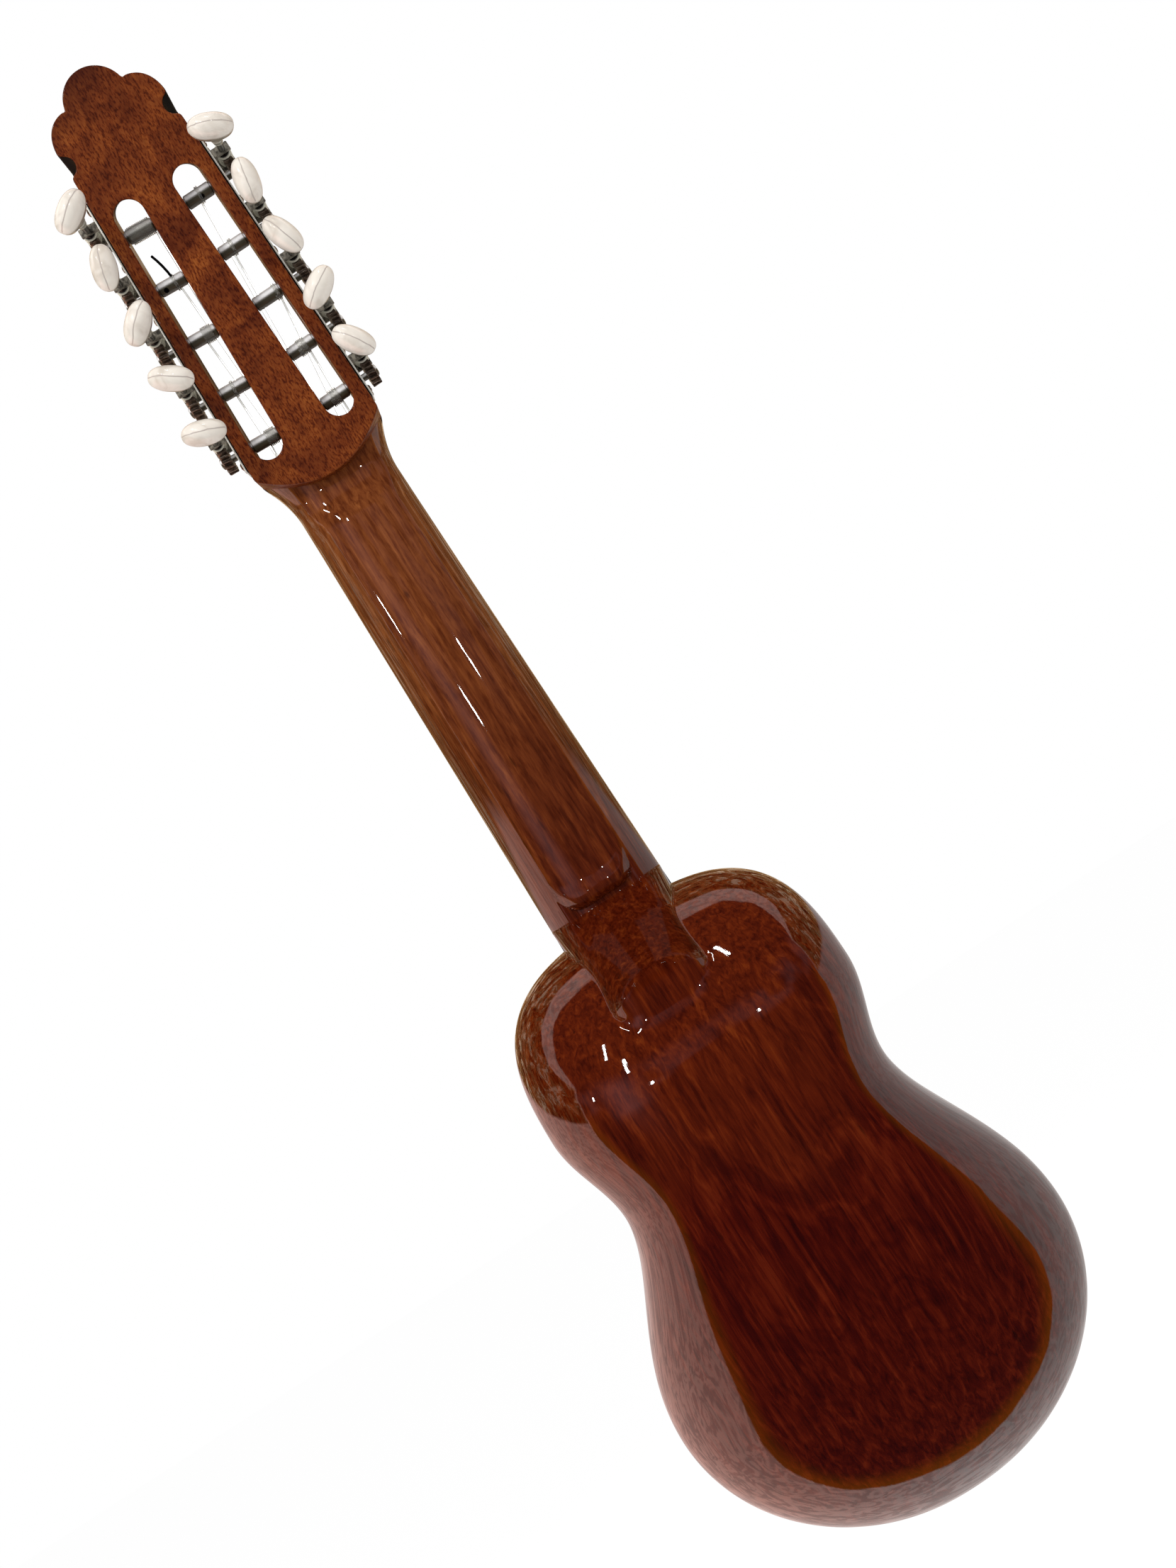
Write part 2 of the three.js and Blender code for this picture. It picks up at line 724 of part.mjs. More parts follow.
function bridge() {
  const blockTop = bridgeTailZ + tieBlockWidth;
  const slotHalf = saddleThickness / 2 + slideFit;
  const saddleSlot = boxBetween(
    new THREE.Vector3(-saddleLength / 2 - slideFit, -bridgeBlockHeight - cutOverrun, saddleZ - slotHalf),
    new THREE.Vector3(saddleLength / 2 + slideFit, saddleSeatDepth - bridgeBlockHeight, saddleZ + slotHalf),
  );
  const valley = boxBetween(
    new THREE.Vector3(-bridgeLength, -bridgeBlockHeight - cutOverrun, blockTop),
    new THREE.Vector3(bridgeLength, -tieValleyHeight, blockTop + tieValleyWidth),
  );
  const [low, high] = [bridgeTailZ - cutOverrun, blockTop + cutOverrun];
  const holes = sideStrings.flatMap(({ atSaddle }) => edges.map(({ sign }) => uprightRod(
    tieHoleRadius, low, high, sign * atSaddle, -tieHoleHeight, stringSides,
  )));
  return carve(bridgeBlank(), [saddleSlot, valley, ...holes]);
}

function saddle() {
  const half = saddleLength / 2;
  const seat = bridgeBlockHeight - saddleSeatDepth + slideFit;
  const shoulder = saddleTop - saddleThickness;
  const shape = new THREE.Shape();
  shape.moveTo(-half, seat);
  shape.lineTo(half, seat);
  shape.lineTo(half, shoulder);
  shape.quadraticCurveTo(half, saddleTop, half - 2 * saddleThickness, saddleTop);
  shape.lineTo(2 * saddleThickness - half, saddleTop);
  shape.quadraticCurveTo(-half, saddleTop, -half, shoulder);
  shape.closePath();
  return extrude(shape, saddleThickness, arcSegments)
    .rotateX(Math.PI)
    .translate(0, 0, saddleZ + saddleThickness / 2);
}

// A round tube along a bent line, mitred at its corners.
function tube(points) {
  const across = new THREE.Vector3(1, 0, 0);
  return loft(points.map((point, index) => {
    const incoming = point.clone().sub(points[Math.max(0, index - 1)]).normalize();
    const outgoing = points[Math.min(points.length - 1, index + 1)].clone().sub(point).normalize();
    const tangent = incoming.add(outgoing).normalize();
    const first = across.clone().addScaledVector(tangent, -across.dot(tangent)).normalize();
    const second = tangent.clone().cross(first);
    return Array.from({ length: stringSides }, (_, side) => {
      const angle = side / stringSides * 2 * Math.PI;
      return point.clone()
        .addScaledVector(first, stringRadius * Math.cos(angle))
        .addScaledVector(second, stringRadius * Math.sin(angle));
    });
  }));
}

// Where a string would cut through the plate at the inner edge of its slot it lies over that
// edge instead. Both ends and the result are in the head's frame.
function spineCrossing(sign, from, to) {
  const inset = (point) => headCornerWidth / 2 - (point.y - headCornerUp) * Math.tan(edgeLean)
    - (railWidth + slotWidth - stringLift) / Math.cos(edgeLean) - sign * point.x;
  const share = inset(from) / (inset(from) - inset(to));
  if (share <= 0 || share >= 1) return [];
  const crossing = from.clone().lerp(to, share);
  const clear = headPlateThickness + stringLift;
  return crossing.z < clear ? [crossing.setZ(clear)] : [];
}

// A string leaves the tie block, passes over the saddle and the nut and comes down on the
// front of its roller.
function string({ frame, sign }, { number, atNut, atSaddle, windingShare }) {
  const tieEnd = bridgeTailZ + tieBlockWidth;
  const saddleBack = saddleZ - saddleThickness / 2 - stringRadius;
  const across = sign * ((windingShare - 1) * slotWidth / 2 - railWidth);
  const overNut = new THREE.Vector3(sign * atNut, -nutHeight - stringLift, slideFit);
  const from = overNut.clone().applyMatrix4(headFrame.matrix.clone().invert());
  const landing = new THREE.Vector3(across, tunerUp(number), rollerRadius + stringLift - rollerLevel)
    .applyMatrix4(frame.matrix);
  const onHead = [...spineCrossing(sign, from, landing), landing];
  return tube([
    new THREE.Vector3(sign * atSaddle, -tieHoleHeight, bridgeTailZ),
    new THREE.Vector3(sign * atSaddle, -tieHoleHeight, tieEnd),
    new THREE.Vector3(sign * atSaddle, -saddleTop - stringLift, saddleBack),
    new THREE.Vector3(sign * atSaddle, -saddleTop - stringLift, saddleZ),
    overNut,
    ...onHead.map((point) => point.applyMatrix4(headFrame.matrix)),
  ]);
}

// Tuners. In a tuner's frame the roller's axis is X, Y runs up the head's edge to the worm,
// and Z is the worm's axis with the button on its far end at -Z.

function tunerPlate({ sign }) {
  const inner = Math.min(sign * seatGap, sign * (seatGap + plateThickness));
  const outer = Math.max(sign * seatGap, sign * (seatGap + plateThickness));
  const reach = Math.max(0, sign * tabReach);
  const [holeFrom, holeTo] = [inner - cutOverrun, outer + cutOverrun];
  const [boreLow, boreHigh] = [-rollerLevel - plateWidth, plateWidth - rollerLevel];
  const strip = boxBetween(
    new THREE.Vector3(inner, tunerUp(tunersPerSide) - plateLowMargin, -rollerLevel - plateWidth / 2),
    new THREE.Vector3(outer, tunerUp(1) + plateHighMargin, -rollerLevel + plateWidth / 2),
  );
  const tabs = [];
  const holes = [];
  for (let number = 1; number <= tunersPerSide; number += 1) {
    const wormUp = tunerUp(number) + wormDistance;
    for (const low of [-rollerLevel - tabLevel - plateThickness, -rollerLevel + tabLevel]) {
      tabs.push(boxBetween(
        new THREE.Vector3(Math.min(inner, reach - (1 - sign) / 2 * tabReach), wormUp - tabWidth / 2, low),
        new THREE.Vector3(Math.max(outer, reach), wormUp + tabWidth / 2, low + plateThickness),
      ));
    }
    holes.push(
      levelRod(spindleRadius + seatGap, holeFrom, holeTo, tunerUp(number), -rollerLevel, boreSides),
      uprightRod(shaftRadius + seatGap, boreLow, boreHigh, sign * gearOffset, wormUp, boreSides),
    );
  }
  return carve(fuse([strip, ...tabs]), holes);
}

function roller({ sign }) {
  const slotInner = -railWidth - slotWidth;
  const end = gearOffset + gearWidth / 2 + spindleEnd;
  return turned([
    [0, slotInner - rollerInsert],
    [journalRadius, slotInner - rollerInsert],
    [journalRadius, slotInner + rollerEndGap],
    [rollerRadius, slotInner + rollerEndGap],
    [rollerRadius, -railWidth - rollerEndGap],
    [journalRadius, -railWidth - rollerEndGap],
    [journalRadius, 0],
    [spindleRadius, 0],
    [spindleRadius, end],
    [0, end],
  ]).rotateZ(-sign * Math.PI / 2);
}

// A tooth points to the worm, and the teeth lean with the worm's thread.
function gear({ sign }) {
  const lean = threadLead / (2 * Math.PI * wormPitchRadius) / gearPitchRadius;
  const ring = (x) => Array.from({ length: gearTeeth }, (_, tooth) => {
    const middle = tooth / gearTeeth * 2 * Math.PI + lean * x;
    const crest = toothCrestWidth / 2 / gearOuterRadius;
    const root = toothRootWidth / 2 / gearRootRadius;
    const corners = [
      [gearRootRadius, -root],
      [gearOuterRadius, -crest],
      [gearOuterRadius, crest],
      [gearRootRadius, root],
    ];
    return corners.map(([radius, aside]) => new THREE.Vector3(
      x, radius * Math.cos(middle + aside), radius * Math.sin(middle + aside),
    ));
  }).flat();
  const wheel = loft([ring(-gearWidth / 2), ring(gearWidth / 2)]);
  const bore = levelRod(spindleRadius + slideFit, -gearWidth, gearWidth, 0, 0, turnedSides);
  return carve(wheel, [bore]).translate(sign * gearOffset, 0, 0);
}

// One start, right-handed, with the gap between two turns facing the gear's tooth. Going once
// round the worm leads one turn up, so the last step joins on to the first one turn higher.
function wormThread() {
  const corners = [
    [wormOuterRadius, -threadCrestWidth / 2],
    [wormOuterRadius, threadCrestWidth / 2],
    [wormCoreRadius, threadRootWidth / 2],
    [wormCoreRadius, threadLead - threadRootWidth / 2],
  ];
  const turns = 2 * Math.ceil(wormLength / threadLead / 2 + 2);
  const rows = turns * corners.length + 1;
  const points = [];
  for (let step = 0; step < threadSteps; step += 1) {
    const angle = step / threadSteps * 2 * Math.PI - Math.PI / 2;
    for (let row = 0; row < rows; row += 1) {
      const [radius, aside] = corners[row % corners.length];
      const turn = Math.floor(row / corners.length) - turns / 2 + step / threadSteps + 1 / 2;
      const height = turn * threadLead + aside;
      points.push(new THREE.Vector3(radius * Math.cos(angle), radius * Math.sin(angle), height));
    }
  }
  const at = (step, row) => (step === threadSteps ? row + corners.length : step * rows + row);
  const triangles = [];
  for (let step = 0; step < threadSteps; step += 1) {
    const height = step === threadSteps - 1 ? rows - 1 - corners.length : rows - 1;
    for (let row = 0; row < height; row += 1) {
      triangles.push(at(step, row), at(step + 1, row), at(step + 1, row + 1));
      triangles.push(at(step, row), at(step + 1, row + 1), at(step, row + 1));
    }
  }
  const steps = Array.from({ length: threadSteps }, (_, step) => step);
  const jump = Array.from({ length: corners.length }, (_, row) => corners.length - row);
  const lastRow = rows - 1;
  const low = [...steps.map((step) => at(step, 0)), ...jump];
  const high = [
    ...steps.map((step) => at(step, lastRow)),
    ...jump.map((row) => at(threadSteps - 1, lastRow - corners.length + row - 1)),
  ];
  for (const [loop, way] of [[low, -1], [high, 1]]) {
    const tip = points.length;
    points.push(new THREE.Vector3(0, 0, way * turns * threadLead));
    loop.forEach((vertex, index) => {
      const next = loop[(index + 1) % loop.length];
      triangles.push(tip, ...(way < 0 ? [next, vertex] : [vertex, next]));
    });
  }
  const band = uprightRod(2 * wormOuterRadius, -wormLength / 2, wormLength / 2, 0, 0, boreSides);
  return geometryOf(solid(closedSkin(points, triangles)).intersect(solid(band)));
}

function wormShaft({ sign }) {
  const tip = tabLevel + plateThickness + shaftTipLength;
  const ferruleTop = seatGap - buttonDistance;
  const shaft = turned([
    [0, -buttonDistance - buttonBoreDepth],
    [shaftRadius, -buttonDistance - buttonBoreDepth],
    [shaftRadius, ferruleTop],
    [ferruleRadius, ferruleTop],
    [ferruleRadius, ferruleTop + ferruleLength],
    [shaftRadius, ferruleTop + ferruleLength],
    [shaftRadius, tip],
    [0, tip],
  ]).rotateX(Math.PI / 2);
  return fuse([shaft, wormThread()]).translate(sign * gearOffset, wormDistance, 0);
}

function button({ sign }, turn) {
  const rings = buttonHeightShares.map((heightShare, index) => {
    const size = buttonSizeShares[index];
    const wide = buttonWidth / 2 * size;
    const collar = ferruleRadius * Math.min(1, size / buttonSizeShares[0]);
    const thin = Math.max(buttonThickness / 2 * size, collar);
    return Array.from({ length: buttonSides }, (_, side) => {
      const angle = side / buttonSides * 2 * Math.PI;
      const across = Math.sign(Math.cos(angle)) * Math.abs(Math.cos(angle)) ** (2 / buttonPowerShare);
      const deep = Math.sign(Math.sin(angle)) * Math.abs(Math.sin(angle)) ** (2 / buttonPowerShare);
      return new THREE.Vector3(wide * across, thin * deep, -buttonDistance - buttonHeight * heightShare);
    });
  });
  const bore = uprightRod(
    shaftRadius + slideFit, -buttonDistance - buttonBoreDepth - slideFit, 0, 0, 0, turnedSides,
  );
  return carve(loft(rings), [bore])
    .rotateZ(THREE.MathUtils.degToRad(turn))
    .translate(sign * gearOffset, wormDistance, 0);
}

// Finishes

function bodyLacquer() {
  return new THREE.MeshStandardMaterial({ color: '#5e1a08', roughness: 0.12, metalness: 0 });
}

function neckLacquer() {
  return new THREE.MeshStandardMaterial({ color: '#80421f', roughness: 0.22, metalness: 0 });
}

function spruce() {
  return new THREE.MeshStandardMaterial({ color: '#d9b077', roughness: 0.4, metalness: 0 });
}

function ebony() {
  return new THREE.MeshStandardMaterial({ color: '#1d1512', roughness: 0.5, metalness: 0 });
}

function rosewood() {
  return new THREE.MeshStandardMaterial({ color: '#3b2118', roughness: 0.5, metalness: 0 });
}

function bone() {
  return new THREE.MeshStandardMaterial({ color: '#ece3cd', roughness: 0.35, metalness: 0 });
}

function nickel() {
  return new THREE.MeshStandardMaterial({ color: '#b9b5ae', roughness: 0.25, metalness: 1 });
}

function darkNickel() {
  return new THREE.MeshStandardMaterial({ color: '#8c8276', roughness: 0.35, metalness: 1 });
}

function pearl() {
  return new THREE.MeshStandardMaterial({ color: '#e8e0dc', roughness: 0.25, metalness: 0 });
}

function nylon() {
  return new THREE.MeshStandardMaterial({ color: '#e6e4dc', roughness: 0.3, metalness: 0 });
}

// Assembly

function piece(name, geometry, material) {
  const mesh = new THREE.Mesh(geometry, material);
  mesh.name = name;
  return mesh;
}

function tuner(edge, number) {
  const group = new THREE.Group();
  group.name = `tuner_${edge.name}_${number}`;
  group.position.set(0, tunerUp(number), -rollerLevel);
  group.add(piece(`roller_${edge.name}_${number}`, roller(edge), nickel()));
  group.add(piece(`gear_${edge.name}_${number}`, gear(edge), darkNickel()));
  group.add(piece(`worm_shaft_${edge.name}_${number}`, wormShaft(edge), darkNickel()));
  group.add(piece(`button_${edge.name}_${number}`, button(edge, edge.buttonTurns[number - 1]), pearl()));
  return group;
}

const charango = new THREE.Group();
charango.name = 'charango';
charango.add(piece('bowl', bowl(), bodyLacquer()));
charango.add(piece('neck_with_head', neckWithHead(), neckLacquer()));
charango.add(piece('soundboard', soundboard(), spruce()));
charango.add(piece('fingerboard', fingerboard(), ebony()));
charango.add(piece('nut', nut(), bone()));
charango.add(piece('bridge', bridge(), rosewood()));
charango.add(piece('saddle', saddle(), bone()));

const head = new THREE.Group();
head.name = 'head';
head.position.copy(headFrame.position);
head.rotation.copy(headFrame.rotation);
head.add(piece('head_plate', headPlate(), ebony()));
for (const edge of edges) {
  const rail = new THREE.Group();
  rail.name = `${edge.name}_rail`;
  rail.position.copy(edge.frame.position);
  rail.rotation.copy(edge.frame.rotation);
  rail.add(piece(`tuner_plate_${edge.name}`, tunerPlate(edge), nickel()));
  for (let number = 1; number <= tunersPerSide; number += 1) {
    rail.add(tuner(edge, number));
  }
  head.add(rail);
  for (const path of sideStrings) {
    charango.add(piece(`string_${edge.name}_${path.number}`, string(edge, path), nylon()));
  }
}
charango.add(head);

export default charango;
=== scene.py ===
import math

import bmesh
import bpy
import numpy as np
from mathutils import Matrix


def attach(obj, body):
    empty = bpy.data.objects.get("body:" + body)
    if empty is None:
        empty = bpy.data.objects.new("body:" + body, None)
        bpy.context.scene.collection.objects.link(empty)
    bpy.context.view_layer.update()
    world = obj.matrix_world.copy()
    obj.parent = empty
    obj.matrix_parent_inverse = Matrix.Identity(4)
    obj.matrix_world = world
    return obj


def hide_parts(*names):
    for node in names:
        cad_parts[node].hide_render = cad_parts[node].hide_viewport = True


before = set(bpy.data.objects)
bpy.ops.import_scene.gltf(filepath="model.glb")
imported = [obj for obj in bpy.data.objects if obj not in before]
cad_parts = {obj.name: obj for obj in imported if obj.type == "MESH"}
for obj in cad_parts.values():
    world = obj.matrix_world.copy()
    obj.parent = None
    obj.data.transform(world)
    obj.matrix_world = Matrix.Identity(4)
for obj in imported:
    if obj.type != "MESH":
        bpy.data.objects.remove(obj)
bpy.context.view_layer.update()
print("frame loaded")

# The charango's own sizes in millimetres. Z runs up the neck from the nut, the back faces +Y.
body = {
    "shouldersZ": -203.2, "topZ": -205.2, "length": 251.7, "upperBout": 59.0, "waist": 97.3,
    "lowerBout": 180.6, "upperHalf": 67.58, "waistHalf": 58.78, "lowerHalf": 86.57, "shoulderPower": 2.98,
    "waistSharpness": 0.88, "depth": 60.5, "shoulderRise": 60.0, "tailFall": 129.0, "upperDepth": 0.88,
    "headEndPower": 1.7, "tailEndPower": 2.4, "upperPower": 3.2, "lowerPower": 2.3, "rim": 2.5, "wall": 5.0,
    "hollowZ": -352.9, "hollowReach": 100.6,
}
neck = {
    "nutHalf": 22.9, "bodyHalf": 25.6, "throatDepth": 13.4, "throatLength": 14.0, "throatPower": 3.0,
    "nutDepth": 16.6, "power": 2.2, "cornerZ": 22.0, "cornerHalf": 28.5, "heelDepth": 19.6, "stepZ": -189.4,
    "stepDrop": 3.6, "stepLength": 6.2, "stepEnd": -194.1, "stepRound": 5.5, "stepBulge": 1.1,
    "bulgeStart": 11.0, "bulgeTop": 4.0, "padInner": 11.5, "padOuter": 17.0, "padCorner": 5.0,
    "scoopLength": 29.1, "scoopCurve": 1.25, "ridgeDepth": 49.2, "ridgeBow": 9.0, "ridgePower": 5.0,
    "ridgeSoftness": 2.6, "topHalf": 23.0, "end": -250.0, "rimEnd": -240.0, "softZ": -232.0,
    "seamZ": -226.0, "seamWidth": 3.0, "seamBow": 9.0,
}
head = {
    "tilt": math.radians(10.75), "foot": 4.5, "thickness": 17.8, "cornerUp": 17.5, "arcUp": 5.0,
    "cornerHalf": 28.8, "notchHalf": 24.5, "notchUp": 154.6, "notchRadius": 4.2, "junctionUp": 172.4,
    "junctionHalf": 12.7, "crownUp": 182.6, "slotWidth": 12.4, "slotLength": 110.0, "slotFirstUp": 22.1,
    "rail": 5.6, "slotMore": 1.9, "slotSlope": 9.0,
}
tunerSizes = {
    "pitch": 23.3, "firstUp": 32.3, "level": 7.3, "offset": 5.75, "wormUp": 7.3,
    "lead": 2 * math.pi * 4.8 / 14,
}
signs = {"left": 1, "right": -1}
buttonTurns = {"left": [-38, -72, -46, 29, 16], "right": [24, -78, 70, -32, 55]}
edgeRise = head["notchUp"] - head["notchRadius"] - head["cornerUp"]
lean = math.atan2(head["cornerHalf"] - head["notchHalf"], edgeRise)


# Shape tools

# Puts a finished mesh on its body, with the nodes it stands for: those that are
# named, or else the node of its own name.
def addPiece(name, mesh, material, bodyName, replaced):
    mesh.materials.clear()
    mesh.materials.append(material)
    obj = bpy.data.objects.new(name, mesh)
    bpy.context.scene.collection.objects.link(obj)
    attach(obj, bodyName)
    names = replaced or [name] * (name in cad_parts)
    if names:
        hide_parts(*names)
    return obj


# A mesh from points in millimetres, its faces turned outwards, with edges sharp past an angle.
def makeMesh(name, points, faces, material, slot, bodyName="instrument", replaced=(), smooth=True,
             sharpAngle=None):
    mesh = bpy.data.meshes.new(name)
    mesh.from_pydata((np.asarray(points, dtype=float) / 1000).tolist(), [], faces)
    mesh.update()
    mesh.polygons.foreach_set("use_smooth", [smooth] * len(mesh.polygons))
    work = bmesh.new()
    work.from_mesh(mesh)
    bmesh.ops.recalc_face_normals(work, faces=work.faces)
    work.to_mesh(mesh)
    work.free()
    if sharpAngle is not None:
        mesh.set_sharp_from_angle(angle=math.radians(sharpAngle))
    return addPiece(name, mesh, material, bodyName, replaced)


# An outline with holes, given its thickness and round edges by a flat curve, then moved to its
# place by a function of its points.
def slab(name, loops, thickness, edge, material, toPlace, replaced=()):
    curve = bpy.data.curves.new(name, "CURVE")
    curve.dimensions = "2D"
    curve.fill_mode = "BOTH"
    curve.extrude = (thickness / 2 - edge) / 1000
    curve.bevel_depth = edge / 1000
    curve.bevel_resolution = 3
    curve.offset = -edge / 1000
    for loop in loops:
        spline = curve.splines.new("POLY")
        spline.points.add(len(loop) - 1)
        spline.points.foreach_set("co", np.insert(np.asarray(loop) / 1000, [2, 2], [0, 1], axis=1).ravel())
        spline.use_cyclic_u = True
    holder = bpy.data.objects.new(name + "_curve", curve)
    bpy.context.scene.collection.objects.link(holder)
    bpy.context.view_layer.update()
    mesh = bpy.data.meshes.new_from_object(holder.evaluated_get(bpy.context.evaluated_depsgraph_get()))
    bpy.data.objects.remove(holder)
    bpy.data.curves.remove(curve)
    points = np.empty(len(mesh.vertices) * 3)
    mesh.vertices.foreach_get("co", points)
    mesh.vertices.foreach_set("co", (toPlace(points.reshape(-1, 3) * 1000) / 1000).ravel())
    mesh.name = name
    mesh.polygons.foreach_set("use_smooth", [True] * len(mesh.polygons))
    mesh.set_sharp_from_angle(angle=math.radians(35))
    mesh.update()
    return addPiece(name, mesh, material, "instrument", replaced)


# A value for every point of a piece, which its material reads.
def setValues(obj, name, values):
    attribute = obj.data.attributes.new(name, "FLOAT", "POINT")
    attribute.data.foreach_set("value", np.asarray(values, dtype=float).ravel())


# Points from three coordinates, each an array or one number for all.
def pointsFrom(x, y, z):
    return np.stack(np.broadcast_arrays(x, y, z), -1)


# Quads over a grid of rows by columns; closed joins the last column to the first.
def gridFaces(rows, columns, closed=False):
    i, j = np.meshgrid(np.arange(rows - 1), np.arange(columns if closed else columns - 1), indexing="ij")
    nextJ = (j + 1) % columns
    quads = np.stack([
        i * columns + j, i * columns + nextJ, (i + 1) * columns + nextJ, (i + 1) * columns + j,
    ], -1)
    return quads.reshape(-1, 4).tolist()


# A closed skin over equal rings, with one flat face at each end.
def skin(rings):
    rings = np.asarray(rings)
    rows, columns, _ = rings.shape
    faces = gridFaces(rows, columns, closed=True)
    faces.append(list(range(columns))[::-1])
    faces.append([(rows - 1) * columns + k for k in range(columns)])
    return rings.reshape(-1, 3), faces


# Several groups of points and faces as one.
def joined(groups):
    points, faces = [], []
    for groupPoints, groupFaces in groups:
        faces += [[k + len(points) for k in face] for face in groupFaces]
        points += np.asarray(groupPoints).tolist()
    return points, faces


def turnAngles(count):
    return np.linspace(0, 2 * math.pi, count, endpoint=False)


# A pair turned by an angle: x cos a - y sin a, and x sin a + y cos a.
def turned(x, y, angle):
    sine, cosine = math.sin(angle), math.cos(angle)
    return x * cosine - y * sine, x * sine + y * cosine


def blend(first, last, share):
    return first + (last - first) * share


# From 0 to 1 with level ends: s * s * (3 - 2s) of the share s between low and high.
def smoothStep(low, high, value):
    share = np.clip((value - low) / (high - low), 0, 1)
    return share * share * (3 - 2 * share)


# From 0 to 1 with level ends, as half a cosine wave.
def cosineStep(share):
    return (1 - np.cos(math.pi * np.clip(share, 0, 1))) / 2


# The larger of two values, with a parabola of the given reach over the corner between them.
def smoothMax(a, b, reach):
    near = np.maximum(reach - np.abs(a - b), 0) / reach
    return np.maximum(a, b) + near * near * reach / 4


# The head's frame: x across, up along the head, out of its front face.
def fromHead(points):
    x, up, out = np.moveaxis(np.asarray(points, dtype=float), -1, 0)
    sine, cosine = math.sin(head["tilt"]), math.cos(head["tilt"])
    return pointsFrom(x, up * sine - out * cosine, head["foot"] + up * cosine + out * sine)


# An edge's frame: its origin in the head's corner, turned with the edge.
def fromEdge(points, side):
    x, up, out = np.moveaxis(np.asarray(points, dtype=float), -1, 0)
    x, up = turned(x, up, signs[side] * lean)
    return fromHead(pointsFrom(x + signs[side] * head["cornerHalf"], up + head["cornerUp"], out))


# How far up the edge a tuner's roller lies; number 5 is the one nearest the nut.
def tunerUp(number):
    return (tunerSizes["firstUp"] - head["cornerUp"] + (5 - number) * tunerSizes["pitch"]) / math.cos(lean)


# A tuner's frame: its origin on the roller's axis at the head's edge.
def fromTuner(points, side, number):
    return fromEdge(np.asarray(points, dtype=float) + [0, tunerUp(number), -tunerSizes["level"]], side)


# A round tube along a path, with frames carried along it.
def tubeAlong(path, radius, sides=8):
    path = np.asarray(path, dtype=float)
    tangent = np.gradient(path, axis=0)
    tangent /= np.linalg.norm(tangent, axis=1)[:, None]
    side = np.cross(tangent[0], [0.31, 0.17, 0.93])
    angle = turnAngles(sides)[:, None]
    rings = []
    for point, along in zip(path, tangent):
        side = side - along * side.dot(along)
        side /= np.linalg.norm(side)
        rings.append(point + radius * (np.cos(angle) * side + np.sin(angle) * np.cross(along, side)))
    return skin(rings)


# A turned piece on X from pairs of place and radius.
def turnedOnX(profile, sides=40):
    angle = turnAngles(sides)
    return skin([pointsFrom(x, radius * np.cos(angle), radius * np.sin(angle)) for x, radius in profile])


# An arc about (x, y) between two angles.
def arc(x, y, radius, first, last, count):
    angle = np.linspace(first, last, count)
    return np.stack([x + radius * np.cos(angle), y + radius * np.sin(angle)], -1)


def circle(x, y, radius, count=96):
    return arc(x, y, radius, 0, 2 * math.pi, count + 1)[:-1]


# A cubic curve from a to d with the handles b and c.
def bezier(a, b, c, d, count):
    t = np.linspace(0, 1, count)[:, None]
    a, b, c, d = (np.asarray(p, dtype=float) for p in (a, b, c, d))
    return a * (1 - t) ** 3 + 3 * b * t * (1 - t) ** 2 + 3 * c * t * t * (1 - t) + d * t ** 3


# Materials

# Sets a node's inputs: another node's output is linked, any other value is stored.
def feed(tree, node, inputs):
    for key, value in inputs.items():
        if isinstance(value, bpy.types.NodeSocket):
            tree.links.new(value, node.inputs[key])
        else:
            node.inputs[key].default_value = value


def addNode(tree, kind, inputs=None, **settings):
    node = tree.nodes.new(kind)
    for key, value in settings.items():
        setattr(node, key, value)
    feed(tree, node, inputs or {})
    return node


def newMaterial(name):
    material = bpy.data.materials.new(name)
    material.use_nodes = True
    return material, material.node_tree


# Gives a material's own shader its inputs.
def finished(material, inputs):
    feed(material.node_tree, material.node_tree.nodes["Principled BSDF"], inputs)
    return material


# A colour written in hex as linear red, green, blue and alpha.
def linear(hexColour):
    values = [int(hexColour[k:k + 2], 16) / 255 for k in (1, 3, 5)]
    return [v / 12.92 if v <= 0.04045 else ((v + 0.055) / 1.055) ** 2.4 for v in values] + [1.0]


# Colours at their places between 0 and 1.
def ramp(tree, factor, stops):
    node = addNode(tree, "ShaderNodeValToRGB", {"Fac": factor})
    elements = node.color_ramp.elements
    while len(elements) < len(stops):
        elements.new(0.5)
    for element, (place, colour) in zip(elements, stops):
        element.position = place
        element.color = linear(colour)
    return node.outputs["Color"]


def mixColour(tree, factor, first, second, blendType="MIX"):
    inputs = {0: factor, 6: first, 7: second}
    return addNode(tree, "ShaderNodeMix", inputs, data_type="RGBA", blend_type=blendType).outputs[2]


def mathNode(tree, operation, first, second=0.0, third=0.0):
    return addNode(tree, "ShaderNodeMath", {0: first, 1: second, 2: third}, operation=operation).outputs[0]


def multiply(tree, first, second):
    return mathNode(tree, "MULTIPLY", first, second)


# first * second + third
def multiplyAdd(tree, first, second, third):
    return mathNode(tree, "MULTIPLY_ADD", first, second, third)


# A value between low and high taken evenly to between first and last.
def rangeNode(tree, value, low, high, first=0.0, last=1.0, kind="LINEAR"):
    inputs = {0: value, 1: low, 2: high, 3: first, 4: last}
    return addNode(tree, "ShaderNodeMapRange", inputs, interpolation_type=kind).outputs[0]


# The same from 0 to 1 with level ends; it falls where low is above high.
def stepNode(tree, value, low, high):
    return rangeNode(tree, value, low, high, kind="SMOOTHSTEP")


def attributeNode(tree, name):
    return addNode(tree, "ShaderNodeAttribute", attribute_name=name).outputs["Fac"]


def objectPlace(tree):
    return addNode(tree, "ShaderNodeTexCoord").outputs["Object"]


def partsOf(tree, place):
    return addNode(tree, "ShaderNodeSeparateXYZ", {0: place}).outputs


